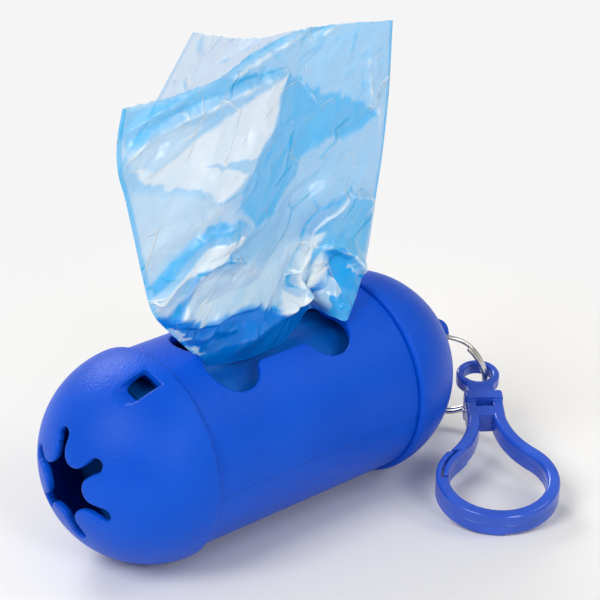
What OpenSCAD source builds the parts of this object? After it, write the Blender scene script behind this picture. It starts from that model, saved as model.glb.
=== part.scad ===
// Capsule-shaped dispenser for rolled waste bags, lying on a table with one bag pulled through
// its slot and a swivel snap hook hanging from its rear cap.
// Millimetres. The capsule lies along X: the cap with the star opening is at -X, the cap with the
// ring lug at +X. Z is up, and the origin is on the table under the middle of the whole object.

/* [Capsule] */
// Outer diameter of the domed end caps, which is what the capsule rests on
cap_d = 40; // [39:0.5:48]
// Outer diameter of the tube between the caps
tube_d = 38; // [37:0.5:38.5]
// Length of tube that shows between the two caps
tube_len = 50; // [46:1:64]
// Wall of the tube
tube_wall = 1.8; // [1.6:0.1:2]
// Wall of the domed caps
cap_wall = 1.7; // [1.4:0.1:2.2]
// Turn of both caps and of the slot round the axis, towards the front, in degrees
slot_lean = 14.5; // [0:0.5:20]

/* [Cap thread] */
// Length of the threaded spigot that enters the tube
spigot_len = 6; // [5:0.5:8]
// Wall of the spigot under its thread
spigot_wall = 1.1; // [0.8:0.1:1.4]
// Rise of one turn of thread
thread_pitch = 3; // [2.6:0.1:3.4]
// Height of the thread ridge
thread_h = 0.55; // [0.4:0.05:0.6]
// Turns of thread on each piece
thread_turns = 1.2; // [0.8:0.1:1.3]
// Radial play between a thread crest and the wall that it faces
thread_play = 0.15; // [0.1:0.05:0.25]

/* [Dispensing slot] */
// Distance between the middles of the slot's two ends
slot_span = 22.4; // [18:0.2:26]
// Radius of the four round lobes of the bone shape
lobe_r = 5.3; // [4:0.1:6]
// Distance of each lobe's middle from the slot's centre line
lobe_out = 4.3; // [3:0.1:5]
// Width of the narrow middle of the slot
slot_waist = 11; // [8:0.2:12]
// Place of the slot's middle along the tube
slot_x = -1.6; // [-3:0.1:3]

/* [Star opening] */
// Number of arms of the star opening in the front cap
star_arms = 6; // [5:1:7]
// Distance from the axis to the round end of each arm
star_r = 10.2; // [8.5:0.1:11.5]
// Radius of the round end of each arm
star_end_r = 1.3; // [1:0.1:1.6]
// Width of each arm between two petals
star_neck = 1.9; // [1.4:0.1:2.4]
// Distance from the axis to the tips of the petals
petal_in = 4.8; // [4:0.1:5.6]
// Radius of the round petals
petal_r = 3; // [2.6:0.1:3.2]

/* [Hanging slot] */
// Width of the rectangular hanging slot in the front cap
hang_w = 4.5; // [4:0.1:6]
// Distance from the axis to the floor of the hanging slot
hang_floor = 16.8; // [16.2:0.1:17.4]
// Distance from the cap's lip to the back wall of the hanging slot
hang_back = 3.6; // [3:0.1:5]
// Radius of the corners of the hanging slot's floor
hang_round = 1.2; // [0.6:0.1:1.6]
// Turn of the hanging slot round the axis, towards the front, in degrees
hang_lean = 19; // [10:0.5:30]

/* [Bag roll] */
// Radial play between the roll of bags and the bore of the spigots that it turns in
roll_play = 0.4; // [0.2:0.05:2]
// Length of the roll, which is the folded width of a bag
roll_len = 62; // [54:1:66]
// Outer diameter of the paper core
core_d = 12; // [11:0.5:16]
// Wall of the paper core
core_wall = 1.2; // [0.8:0.1:1.6]

/* [Pulled bag] */
// Width of the pulled bag where it stands open
bag_w = 68; // [56:1:72]
// Width of the bag where it is gathered in the slot
bag_gather = 26; // [18:1:30]
// Height of the bag above the top of the tube
bag_h = 55; // [40:1:70]
// Width of the open mouth between the two panels
bag_mouth = 13; // [8:0.5:18]
// Thickness of each panel's solid, which stands for crumpled film
bag_t = 0.9; // [0.7:0.1:1.4]

/* [Split ring] */
// Outer diameter of the steel split ring
ring_d = 19.4; // [18:0.2:21]
// Diameter of the ring's wire
wire_d = 0.9; // [0.8:0.05:1.1]
// Turns of wire in the ring
ring_turns = 1.9; // [1.6:0.1:1.95]
// Least gap between the two turns
wire_gap = 0.1; // [0.06:0.01:0.2]

/* [Ring lug] */
// Radius of the hole in the lug at the tip of the rear cap
lug_hole_r = 2.8; // [2.7:0.1:3.1]
// Width of material round the lug's hole
lug_rim = 1.6; // [1.3:0.1:2]
// Thickness of the lug
lug_t = 2; // [1.6:0.1:2.2]

/* [Swivel eye] */
// Radius of the swivel eye's hole
eye_hole_r = 2.8; // [2.6:0.1:3.2]
// Width of material round the eye's hole
eye_rim = 1.5; // [1.2:0.1:1.9]
// Thickness of the eye
eye_t = 2.8; // [2.2:0.1:3.2]
// Distance from the middle of the eye to the collar
eye_to_collar = 7.8; // [7.2:0.1:9]
// Diameter of the shank that turns in the collar
shank_d = 1.8; // [1.6:0.1:2]
// Radial running clearance round the shank
shank_play = 0.06; // [0.04:0.01:0.08]
// Diameter of the head that keeps the shank in the collar
shank_head_d = 2.8; // [2.6:0.1:3]
// Length of the shank's head
shank_head_len = 1.2; // [0.9:0.1:1.4]

/* [Snap hook] */
// Outer width of the hook's round loop
loop_w = 23.4; // [20:0.2:28]
// Distance from the far end of the loop to the middle of the swivel eye
hook_len = 44.6; // [43:0.2:50]
// Width of the hook's bar, seen from above
bar_w = 2.5; // [2.2:0.1:2.8]
// Height of the hook's bar
bar_h = 4.7; // [4:0.1:5.4]
// Outer width of the two arms where they meet the collar
neck_w = 7.4; // [7:0.1:8]
// Radius of the hollow curve from the loop to the neck
neck_curve = 17; // [14:0.5:20]
// Width of the collar
collar_w = 7.6; // [7:0.1:9]
// Height of the collar
collar_h = 6.3; // [5.6:0.1:7]
// Length of the collar along the hook
collar_len = 2.2; // [1.8:0.1:3]
// Distance from the far end of the loop to the tip of the gate
gate_tip = 12.6; // [11:0.2:15]
// Length of the solid web that joins the two arms
web_len = 2.6; // [2.2:0.1:3.4]
// Length over which the gate and the loop's end lap each other
gate_lap = 7.4; // [5:0.2:8.5]
// Gap between the gate and the loop's end
gate_gap = 0.3; // [0.25:0.05:0.4]
// Gap at each end of the lap, between the loop and the gate
gate_end_gap = 0.6; // [0.5:0.05:0.8]
// Radius of the rounded root on which the gate turns
gate_root_r = 0.85; // [0.75:0.05:0.95]
// Clearance round the root of the gate
gate_root_play = 0.08; // [0.05:0.01:0.1]

/* [Lie of the hook] */
// Heading of the hook on the table, from its loop to its eye, in degrees from +X
hook_heading = 50.3; // [45:0.1:56]
// Rise of the hook from the table towards its eye, in degrees
hook_rise = 12.95; // [11:0.05:15]
// Distance of the eye's middle past the tip of the rear dome
eye_past = 8.5; // [8:0.1:10]
// Distance of the eye's middle in front of the capsule's axis
eye_front = 7.4; // [6:0.1:9]

/* [Hidden] */
$fn = 96;
eps = 0.01;
blue = [0.05, 0.27, 0.78];

cap_r = cap_d / 2;
tube_r = tube_d / 2;
tube_in = tube_r - tube_wall;
lip_x = tube_len / 2;
tip_x = lip_x + cap_r;
dome_in = cap_r - cap_wall;
thread_wall = 0.5;
thread_tip_w = 0.55;
thread_base_w = 1.05;
thread_steps = 24;
thread_lead = 0.9;
spigot_r = tube_in - thread_h - thread_play;
spigot_in = spigot_r - spigot_wall;
roll_r = spigot_in - roll_play;
flange_t = 1.5;
edge_1 = 0.2;
edge_2 = 0.55;

// reach of a round plate of radius r and half height h along an axis, of which n is the share
// in the plate's normal
function plate_reach(r, h, n) = r * sqrt(1 - n * n) + h * abs(n);
// the footprint runs from the petals' tips to the swivel eye, and from the loop to the back
low_x = -lip_x - sqrt(cap_r * cap_r - petal_in * petal_in);
high_x = tip_x + eye_past
         + plate_reach(eye_hole_r + eye_rim, eye_t / 2 - edge_1, sin(hook_rise) * cos(hook_heading));
low_y = -eye_front - (hook_len - loop_w / 2) * sin(hook_heading) * cos(hook_rise)
        - plate_reach(loop_w / 2, bar_h / 2, sin(hook_rise) * sin(hook_heading));
axis_x = -(low_x + high_x) / 2;
axis_y = -(low_y + cap_r) / 2;
// moves a piece from the capsule's own axis to its place over the origin
module place() {
    translate([axis_x, axis_y, cap_r]) children();
}

// a ridge of trapezoid section that climbs along +X round the X axis
function ridge_ring(a, rise, base_r, tip_r) = [
    for (p = [[-thread_base_w / 2, base_r], [-thread_tip_w / 2, tip_r],
              [thread_tip_w / 2, tip_r], [thread_base_w / 2, base_r]])
        [p[0] + rise, p[1] * cos(a), p[1] * sin(a)]];
module thread_ridge(base_r, tip_r) {
    steps = round(thread_steps * thread_turns);
    points = [for (i = [0:steps]) each ridge_ring(i * 360 * thread_turns / steps,
                                                   i * thread_pitch * thread_turns / steps,
                                                   base_r, tip_r)];
    flip = tip_r < base_r;
    sides = [for (i = [0:steps - 1], k = [0:3])
        let (a = 4 * i + k, b = 4 * i + (k + 1) % 4, c = b + 4, d = a + 4)
            each [[a, b, c], [a, c, d]]];
    ends = [[3, 2, 1], [3, 1, 0],
            [4 * steps, 4 * steps + 1, 4 * steps + 2], [4 * steps, 4 * steps + 2, 4 * steps + 3]];
    faces = concat(sides, ends);
    polyhedron(points, flip ? [for (f = faces) [f[2], f[1], f[0]]] : faces);
}

module along_x(x0, len, r) {
    translate([x0, 0, 0]) rotate([0, 90, 0]) cylinder(r = r, h = len);
}

// bone-shaped outline of the dispensing slot, long way along X
module bone() {
    for (sx = [-1, 1], sy = [-1, 1])
        translate([sx * slot_span / 2, sy * lobe_out]) circle(r = lobe_r);
    square([slot_span, slot_waist], center = true);
    for (sx = [-1, 1])
        translate([sx * slot_span / 2, 0]) square([lobe_r * 1.5, lobe_out * 1.2], center = true);
}

module body_tube() {
    color(blue) place() {
        difference() {
            along_x(-lip_x, tube_len, tube_r);
            along_x(-lip_x - 1, tube_len + 2, tube_in);
            rotate([slot_lean, 0, 0]) translate([slot_x, 0, 0])
                linear_extrude(height = cap_r + 1) bone();
        }
        for (turn = [0, 180])
            rotate([0, 0, turn]) translate([lip_x - thread_lead - thread_pitch * (thread_turns + 0.5), 0, 0])
                thread_ridge(tube_in + thread_wall, (tube_in - thread_h) / cos(180 / thread_steps));
    }
}

// cap shell with its threaded spigot, with the lip at x = 0 and the dome towards +X
module cap_shell() {
    rotate([90, 0, 90]) rotate_extrude() difference() {
        union() {
            intersection() {
                circle(r = cap_r);
                square([cap_r, cap_r]);
            }
            translate([0, -spigot_len]) square([spigot_r, spigot_len + eps]);
        }
        intersection() {
            circle(r = dome_in);
            translate([0, flange_t]) square([cap_r, cap_r]);
        }
        translate([0, -spigot_len - 1]) square([spigot_in, spigot_len + 1 + flange_t + eps]);
    }
    translate([-thread_lead - thread_pitch * thread_turns, 0, 0])
        thread_ridge(spigot_r - thread_wall, spigot_r + thread_h);
}

// the star: round arms between round petals
module star() {
    arm_mid = star_r - star_end_r;
    petal_mid = petal_in + petal_r;
    for (i = [0:star_arms - 1]) rotate(i * 360 / star_arms) {
        translate([arm_mid, 0]) circle(r = star_end_r);
        translate([0, -star_neck / 2]) square([arm_mid, star_neck]);
    }
    difference() {
        circle(r = petal_mid);
        for (i = [0:star_arms - 1]) rotate((i + 0.5) * 360 / star_arms)
            translate([petal_mid, 0]) circle(r = petal_r);
    }
}

// the hanging slot: a channel parallel to the axis that breaks through the dome
module hanging_slot() {
    reach = cap_r - hang_floor + 1;
    translate([hang_back, 0, 0]) rotate([90, 0, 90]) linear_extrude(height = cap_r) {
        translate([-hang_w / 2, hang_floor + hang_round]) square([hang_w, reach]);
        translate([-hang_w / 2 + hang_round, hang_floor]) square([hang_w - 2 * hang_round, reach]);
        for (s = [-1, 1])
            translate([s * (hang_w / 2 - hang_round), hang_floor + hang_round])
                circle(r = hang_round);
    }
}

module front_cap() {
    color(blue) place() rotate([-hang_lean, 0, 180]) translate([lip_x, 0, 0]) difference() {
        cap_shell();
        translate([cap_r / 2, 0, 0]) rotate([90, 0, 90])
            linear_extrude(height = cap_r) rotate(90 + 180 / star_arms) star();
        hanging_slot();
    }
}

lug_x = cap_r + lug_hole_r - 0.2;
lug_r = lug_hole_r + lug_rim;
module rear_cap() {
    color(blue) place() translate([lip_x, 0, 0]) {
        cap_shell();
        rotate([90, 0, 0]) translate([0, 0, -lug_t / 2]) linear_extrude(height = lug_t)
            difference() {
                union() {
                    translate([lug_x, 0]) circle(r = lug_r);
                    translate([cap_r - cap_wall / 2, -lug_r]) square([lug_x - cap_r + cap_wall / 2, 2 * lug_r]);
                }
                translate([lug_x, 0]) circle(r = lug_hole_r);
                circle(r = dome_in + cap_wall / 4);
            }
    }
}

module bag_roll() {
    color([0.05, 0.45, 0.75]) place() rotate([0, 90, 0]) difference() {
        cylinder(r = roll_r, h = roll_len, center = true);
        cylinder(d = core_d, h = roll_len + 2, center = true);
    }
}
module roll_core() {
    color([0.72, 0.62, 0.48]) place() rotate([0, 90, 0]) difference() {
        cylinder(d = core_d, h = roll_len, center = true);
        cylinder(d = core_d - 2 * core_wall, h = roll_len + 2, center = true);
    }
}

// the bag: two panels that share their right edge and the lower part of their left edge, and part
// at the upper left, where the mouth hangs open
bag_foot = tube_r - 1.4;
bag_steps = 14;
bag_cells = 12;
panel_swell = 2;
// each line is a row of evenly spaced points; those up an edge run from the slot to the mouth,
// the others from left to right
// shares of half the gathered width and of half the slot's waist
front_foot = [[-0.98, 0.1], [-0.89, -0.48], [-0.46, -0.82], [0.14, -0.68], [0.88, 0.2], [1.04, -0.88]];
back_foot = [[-0.98, 0.1], [-0.71, 0.22], [-0.31, 0.13], [0.33, 0.31], [0.79, 0.63], [1.04, -0.88]];
// shares of half the bag's width, of its mouth and of its height
left_edge = [[-0.66, -0.37, 0.11], [-0.77, -0.4, 0.2], [-0.83, -0.43, 0.32], [-0.89, -0.46, 0.47],
             [-0.94, -0.46, 0.61]];
left_front = [[-0.97, -0.42, 0.74], [-0.9, -0.35, 0.89]];
left_back = [[-0.61, -0.12, 0.79], [-0.26, 0.23, 1]];
right_edge = [[0.66, -0.5, 0.06], [0.77, -0.39, 0.12], [0.83, -0.32, 0.22], [0.88, -0.28, 0.34],
              [0.94, -0.23, 0.47], [0.99, -0.19, 0.67], [1.03, -0.15, 0.91]];
front_mouth = [[-0.6, -0.46, 0.89], [-0.27, -0.42, 0.91], [0.24, -0.19, 0.96], [0.6, -0.15, 0.95]];
back_mouth = [[0.01, 0.4, 0.95], [0.27, 0.46, 0.92], [0.49, 0.38, 0.92], [0.73, 0.12, 0.92]];

function smooth(t) = let (s = max(0, min(1, t))) s * s * (3 - 2 * s);
function in_slot(line) = [for (p = line)
    let (across = p[1] * slot_waist / 2)
        [slot_x + p[0] * bag_gather / 2,
         across * cos(slot_lean) - bag_foot * sin(slot_lean),
         across * sin(slot_lean) + bag_foot * cos(slot_lean)]];
function in_bag(line) = [for (p = line)
    [slot_x + p[0] * bag_w / 2, p[1] * bag_mouth, tube_r + p[2] * bag_h]];
function follow(line, t) =
    let (n = len(line) - 1, i = min(n - 1, floor(t * n)), part = t * n - i)
        line[i] * (1 - part) + line[i + 1] * part;
// a sheet between its four edges
function sheet_point(foot, mouth, left, right, s, t, swell) =
    follow(left, t) * (1 - s) + follow(right, t) * s + follow(foot, s) * (1 - t) + follow(mouth, s) * t
    - (foot[0] * (1 - s) + right[0] * s) * (1 - t) - (mouth[0] * (1 - s) + last(mouth) * s) * t
    + [0, swell * 16 * s * (1 - s) * t * (1 - t), 0];
function last(line) = line[len(line) - 1];
module bag_panel(foot, mouth, left, right, swell) {
    row = bag_cells + 1;
    count = row * (bag_steps + 1);
    points = [for (side = [-1, 1], i = [0:bag_steps], j = [0:bag_cells])
        sheet_point(foot, mouth, left, right, j / bag_cells, i / bag_steps, swell)
            + [0, side * bag_t / 2, 0]];
    skins = [for (i = [0:bag_steps - 1], j = [0:bag_cells - 1])
        let (a = row * i + j, b = a + 1, c = b + row, d = a + row)
            each [[a, c, b], [a, d, c], [count + a, count + b, count + c], [count + a, count + c, count + d]]];
    ends = [for (j = [0:bag_cells - 1], top = [0, row * bag_steps])
        let (a = top + j, b = a + 1, low = top == 0)
            each [[low ? a : b, low ? b : a, count + (low ? b : a)],
                  [low ? a : b, count + (low ? b : a), count + (low ? a : b)]]];
    sides = [for (i = [0:bag_steps - 1], far = [0, bag_cells])
        let (a = row * i + far, b = a + row, low = far == 0)
            each [[low ? b : a, low ? a : b, count + (low ? a : b)],
                  [low ? b : a, count + (low ? a : b), count + (low ? b : a)]]];
    polyhedron(points, concat(skins, ends, sides));
}
module pulled_bag() {
    right = concat([last(in_slot(front_foot))], in_bag(right_edge));
    front_left = concat([in_slot(front_foot)[0]], in_bag(left_edge), in_bag(left_front));
    back_left = concat([in_slot(back_foot)[0]], in_bag(left_edge), in_bag(left_back));
    color([0.45, 0.75, 0.95]) place() {
        bag_panel(in_slot(front_foot), concat([last(front_left)], in_bag(front_mouth), [last(right)]),
                  front_left, right, -panel_swell);
        bag_panel(in_slot(back_foot), concat([last(back_left)], in_bag(back_mouth), [last(right)]),
                  back_left, right, panel_swell);
    }
}

// frame of the split ring, which hangs in the lug's hole
ring_turn = 29;
ring_tilt = 10;
ring_r = (ring_d - wire_d) / 2;
ring_hang = [tip_x + lug_hole_r + 0.2, 0, 1.2];
ring_side = 1.3;
ring_drop = sqrt(ring_r * ring_r - ring_side * ring_side);
module ring_frame() {
    translate(ring_hang) rotate([0, -ring_tilt, ring_turn]) children();
}
ring_start = 131;
wire_sides = 6;
wire_steps = 20;
// the first turn lies flat, and the wire then steps over to the second beside it
function coil_lift(turn) = (wire_d + wire_gap)
    * (smooth((turn / 360 - ring_turns + 1) / (2 - ring_turns)) - 0.5);
module split_ring() {
    steps = round(wire_steps * ring_turns);
    points = [for (i = [0:steps])
        let (turn = i * 360 * ring_turns / steps, a = ring_start + turn, lift = coil_lift(turn))
            for (k = [0:wire_sides - 1])
                let (b = k * 360 / wire_sides, r = ring_r + wire_d / 2 * cos(b))
                    [lift + wire_d / 2 * sin(b), r * cos(a), r * sin(a)]];
    sides = [for (i = [0:steps - 1], k = [0:wire_sides - 1])
        let (a = wire_sides * i + k, b = wire_sides * i + (k + 1) % wire_sides)
            each [[a, b, a + wire_sides], [b, b + wire_sides, a + wire_sides]]];
    ends = [[for (k = [0:wire_sides - 1]) wire_sides - 1 - k],
            [for (k = [0:wire_sides - 1]) wire_sides * steps + k]];
    color([0.78, 0.77, 0.75]) place() ring_frame() translate([0, -ring_side, -ring_drop])
        polyhedron(points, concat(sides, ends));
}

// frame of the hook: its origin is the middle of the eye, and the loop lies towards -X
eye_z = -cap_r + bar_h / 2 * cos(hook_rise) + hook_len * sin(hook_rise);
eye_mid = [tip_x + eye_past, -eye_front, eye_z];
module hook_frame() {
    translate(eye_mid) rotate([0, -hook_rise, hook_heading]) children();
}
eye_r = eye_hole_r + eye_rim;
neck_far = loop_w / 2 + neck_curve;
neck_rise = sqrt(neck_far * neck_far - pow(neck_w / 2 + neck_curve, 2));
collar_gap = 0.25;
collar_top = -eye_to_collar;
neck_len = collar_top + hook_len - loop_w / 2 - neck_rise;
collar_foot = collar_top - collar_len;
window_len = shank_head_len + 2 * collar_gap;
web_x = collar_foot - window_len - web_len;
tab_w = 5.6;
module swivel_eye() {
    color([0.16, 0.22, 0.68]) place() hook_frame() difference() {
        union() {
            for (s = [[0, eye_t], [edge_2, eye_t - 2 * edge_1]])
                cylinder(r = eye_r - edge_2 + s[0], h = s[1], center = true);
            translate([(collar_top + collar_gap - eye_hole_r) / 2, 0, 0])
                cube([-eye_hole_r - collar_top - collar_gap, tab_w, eye_t - 2 * edge_1], center = true);
            translate([collar_foot - collar_gap - shank_head_len, 0, 0])
                rotate([0, 90, 0]) cylinder(d = shank_head_d, h = shank_head_len);
            translate([collar_foot - collar_gap - shank_head_len, 0, 0])
                rotate([0, 90, 0])
                    cylinder(d = shank_d, h = collar_len + shank_head_len + 2 * collar_gap + 1);
        }
        cylinder(r = eye_hole_r, h = eye_t + 2, center = true);
    }
}

// outline of the hook, drawn in by b, with the far end of the loop at x = -hook_len
module hook_outline(b) {
    loop_r = loop_w / 2;
    neck_r = neck_w / 2;
    meet = loop_r / neck_far * (1 - b / loop_r);
    side = neck_r + neck_curve;
    translate([-hook_len + loop_r, 0]) {
        circle(r = loop_r - b);
        difference() {
            polygon([[neck_rise * meet, -side * meet], [neck_rise, b - neck_r],
                     [neck_rise + neck_len, b - neck_r], [neck_rise + neck_len, neck_r - b],
                     [neck_rise, neck_r - b], [neck_rise * meet, side * meet]]);
            for (s = [-1, 1]) translate([neck_rise, s * side]) circle(r = neck_curve + b);
        }
    }
}
module hook_band(b0, b1) {
    difference() {
        hook_outline(b0);
        hook_outline(b1);
    }
}
root_in = 0.5;
root_x = web_x + root_in;
root_y = neck_w / 2 - bar_w / 2;
root_neck_w = 1.15;
root_neck_len = 1.2;
lap_x0 = -hook_len + gate_tip;
lap_x1 = lap_x0 + gate_lap;
module gate_side(x0, x1) {
    translate([x0, 0]) square([x1 - x0, loop_w]);
}
module hook_body() {
    color([0.13, 0.25, 0.75]) place() hook_frame() difference() {
        union() {
            linear_extrude(height = bar_h, center = true) {
                difference() {
                    hook_band(0, bar_w);
                    gate_side(lap_x1 - gate_end_gap, web_x);
                    intersection() {
                        hook_band(bar_w / 2 - gate_gap / 2, bar_w + 1);
                        gate_side(lap_x0 - gate_end_gap, web_x);
                    }
                }
                intersection() {
                    hook_outline(0);
                    translate([web_x, -loop_w / 2]) square([collar_top - web_x - eps, loop_w]);
                }
            }
            translate([collar_foot, -collar_w / 2, -collar_h / 2])
                cube([collar_len, collar_w, collar_h]);
        }
        translate([collar_foot - window_len / 2, 0, 0])
            cube([window_len, shank_head_d + 2 * collar_gap, collar_h], center = true);
        translate([collar_foot - 1, 0, 0]) rotate([0, 90, 0])
            cylinder(r = shank_d / 2 + shank_play, h = collar_len + 2);
        translate([root_x, root_y, -collar_h / 2])
            cylinder(r = gate_root_r + gate_root_play, h = collar_h);
    }
}
module gate_arm() {
    color([0.13, 0.25, 0.75]) place() hook_frame() linear_extrude(height = bar_h, center = true) {
        intersection() {
            hook_band(0, bar_w);
            gate_side(lap_x1, web_x - root_neck_len);
        }
        intersection() {
            hook_band(bar_w / 2 + gate_gap / 2, bar_w);
            gate_side(lap_x0, lap_x1 + eps);
        }
        translate([root_x - root_in - root_neck_len - eps, root_y - root_neck_w / 2])
            square([root_in + root_neck_len + eps, root_neck_w]);
        translate([root_x, root_y]) circle(r = gate_root_r);
    }
}

body_tube();
front_cap();
rear_cap();
bag_roll();
roll_core();
pulled_bag();
split_ring();
swivel_eye();
hook_body();
gate_arm();
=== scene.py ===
# %% [markdown]
# # A dispenser for rolled waste bags
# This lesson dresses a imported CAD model. The real object is a blue capsule of three moulded
# parts: a tube with a bone-shaped slot and two screw caps. A roll of film bags turns inside it,
# one bag stands up out of the slot, and a snap hook hangs from the rear cap on a steel ring.
# The CAD model is loaded first and stays as it is, and every piece below sits in its frame.

# %% Load the model
import math
import bpy
import bmesh
import numpy as np
from mathutils import Matrix, Vector
from mathutils.bvhtree import BVHTree
from mathutils.geometry import delaunay_2d_cdt


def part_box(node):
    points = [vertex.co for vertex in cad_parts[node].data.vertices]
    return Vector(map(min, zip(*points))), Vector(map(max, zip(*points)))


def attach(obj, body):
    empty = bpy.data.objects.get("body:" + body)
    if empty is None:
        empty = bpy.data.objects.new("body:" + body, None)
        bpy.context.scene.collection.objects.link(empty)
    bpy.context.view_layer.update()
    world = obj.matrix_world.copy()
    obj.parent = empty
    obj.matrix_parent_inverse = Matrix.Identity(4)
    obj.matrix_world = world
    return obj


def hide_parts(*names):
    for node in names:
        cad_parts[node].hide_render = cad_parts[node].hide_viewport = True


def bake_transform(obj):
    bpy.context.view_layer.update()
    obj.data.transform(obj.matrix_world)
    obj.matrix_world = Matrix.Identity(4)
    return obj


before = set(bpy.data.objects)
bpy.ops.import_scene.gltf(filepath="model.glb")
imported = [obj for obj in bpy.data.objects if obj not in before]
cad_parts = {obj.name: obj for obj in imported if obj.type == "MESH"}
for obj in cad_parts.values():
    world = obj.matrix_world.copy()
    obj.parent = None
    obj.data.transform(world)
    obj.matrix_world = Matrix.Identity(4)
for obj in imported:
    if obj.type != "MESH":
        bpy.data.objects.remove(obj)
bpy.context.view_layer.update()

print("nodes:", sorted(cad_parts))

# %% [markdown]
# ## One origin for every drawing
# The capsule, the ring and the hook were each drawn about an axis of their own. It is easiest to
# keep those drawings in millimetres about the capsule's own axis, and to move each finished mesh
# into the frame in one go. The capsule's middle is found from the boxes of its tube and a cap.

# %% The capsule's middle, and a way from drawing to frame
tube_box, cap_box = np.array(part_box("body_tube")), np.array(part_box("front_cap"))
capsule_middle = np.array([tube_box[:, 0].mean(), cap_box[:, 1].mean(), cap_box[:, 2].mean()])


def turn(axis, degrees):
    """A turn about one axis, from the next axis towards the one after it."""
    cosine, sine = math.cos(math.radians(degrees)), math.sin(math.radians(degrees))
    first, second = ("xyz".index(axis) + 1) % 3, ("xyz".index(axis) + 2) % 3
    matrix = np.eye(3)
    matrix[first, first] = matrix[second, second] = cosine
    matrix[second, first], matrix[first, second] = sine, -sine
    return matrix


def to_frame(points, turned=np.eye(3), origin=(0, 0, 0)):
    """Millimetres about a piece's own axes, turned and moved, become metres in the frame."""
    return (np.asarray(points) @ turned.T + np.asarray(origin)) / 1000 + capsule_middle


print("middle of the capsule in mm:", np.round(capsule_middle * 1000, 3))

# %% [markdown]
# ## The camera
# The photograph looks down on the capsule from its front left with a long lens, so the camera
# comes before any piece: each piece is judged through it. Its three directions and its distance
# are given, and the lens follows from how many pixels a slope of one to one spans in the picture.

# %% Make the camera
view_back = Vector((-0.62585, -0.67232, 0.39534))
view_right = Vector((0.73195, -0.68136, 0.0))
view_up = view_back.cross(view_right).normalized()
eye_point = 0.008824 * view_right + 0.020668 * view_up + 0.447437 * view_back

picture_width, pixels_per_slope = 600, 2402.951
camera_data = bpy.data.cameras.new("camera")
camera_data.sensor_width = 36.0
camera_data.lens = camera_data.sensor_width * pixels_per_slope / picture_width
camera_data.clip_start = 0.01
camera = bpy.data.objects.new("camera", camera_data)
bpy.context.scene.collection.objects.link(camera)
camera.matrix_world = Matrix.Translation(Vector(capsule_middle) + eye_point) @ Matrix(
    (view_right, view_up, view_back)).transposed().to_4x4()
bpy.context.scene.camera = camera
bpy.context.scene.view_settings.view_transform = "Standard"
print("lens %.1f mm, camera at" % camera_data.lens, [round(v, 3) for v in camera.location])

# %% [markdown]
# ## A small language for finishes
# A finish is a tree of shader nodes. Written out call by call it hides its own idea, so numbers
# that vary over a surface are wrapped, and plain Python sums on them add the Math nodes. Colours
# and vectors have nodes of their own, because a Math node would turn a colour grey.

# %% Wrap what varies over a surface
class Varying:
    """A number or colour that varies over a surface, with sums that add Math nodes."""

    def __init__(self, finish, socket):
        self.finish, self.socket = finish, socket

    def maths(self, operation, *values):
        sockets = dict(enumerate(values))
        return self.finish.node("ShaderNodeMath", {"operation": operation}, sockets)

    def __add__(self, other): return self.maths("ADD", self, other)
    def __radd__(self, other): return self.maths("ADD", other, self)
    def __sub__(self, other): return self.maths("SUBTRACT", self, other)
    def __rsub__(self, other): return self.maths("SUBTRACT", other, self)
    def __mul__(self, other): return self.maths("MULTIPLY", self, other)
    def __rmul__(self, other): return self.maths("MULTIPLY", other, self)
    def __abs__(self): return self.maths("ABSOLUTE", self)

    def between(self, low, high):
        """0 below low, 1 above high, smooth between."""
        return self.finish.node(
            "ShaderNodeMapRange", {"interpolation_type": "SMOOTHSTEP"},
            {"Value": self, "From Min": low, "From Max": high})


print("sums that add Math nodes: + - * and abs")


# %% Wrap a material
class Finish:
    """One material, built up node by node."""

    def __init__(self, name):
        self.material = bpy.data.materials.new(name)
        self.material.use_nodes = True
        self.tree = self.material.node_tree
        self.tree.nodes.clear()

    def node(self, kind, settings=None, sockets=None, out=0):
        made = self.tree.nodes.new(kind)
        for name, value in (settings or {}).items():
            setattr(made, name, value)
        for name, value in (sockets or {}).items():
            if isinstance(value, Varying):
                self.tree.links.new(value.socket, made.inputs[name])
            else:
                made.inputs[name].default_value = value
        return Varying(self, made.outputs[out])

    def mix(self, factor, first, second):
        """A colour between two, through a Mix node."""
        return self.node("ShaderNodeMix", {"data_type": "RGBA"},
                         {0: factor, 6: first, 7: second}, out=2)

    def place(self):
        """The point on the piece, in metres, which stays with the piece when it moves."""
        return self.node("ShaderNodeTexCoord", out="Object")

    def noise(self, scale, detail=2.0, roughness=0.5, place=None):
        return self.node("ShaderNodeTexNoise", None, {
            "Vector": place or self.place(), "Scale": scale, "Detail": detail,
            "Roughness": roughness})

    def stretched(self, turn_degrees, lengths):
        """The point about turned axes, for grain that is longer along one of them."""
        return self.node("ShaderNodeMapping", {"vector_type": "TEXTURE"}, {
            "Vector": self.place(), "Scale": lengths,
            "Rotation": tuple(math.radians(value) for value in turn_degrees)})

    def bump(self, height, distance, strength=1.0, under=None):
        sockets = {"Height": height, "Distance": distance, "Strength": strength}
        if under:
            sockets["Normal"] = under
        return self.node("ShaderNodeBump", None, sockets)

    def shader(self, sockets):
        """The one shader that every solid surface here uses."""
        return self.node("ShaderNodeBsdfPrincipled", None, sockets, out="BSDF")

    def ending(self, shader):
        """The material, with a shader joined to its surface."""
        output = self.tree.nodes.new("ShaderNodeOutputMaterial")
        self.tree.links.new(shader.socket, output.inputs["Surface"])
        return self.material

    def surface(self, sockets):
        return self.ending(self.shader(sockets))


print("places for a finish: the piece's own point, or that point about turned axes")


# %% Read colours from a paint chart
def srgb(red, green, blue):
    """A colour as a paint chart gives it, from 0 to 255, as the linear colour that shaders use."""
    return tuple(v / 12.92 if v <= 0.04045 else ((v + 0.055) / 1.055) ** 2.4
                 for v in (red / 255, green / 255, blue / 255)) + (1.0,)


print("mid grey in linear terms: %.3f" % srgb(128, 128, 128)[0])

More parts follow.
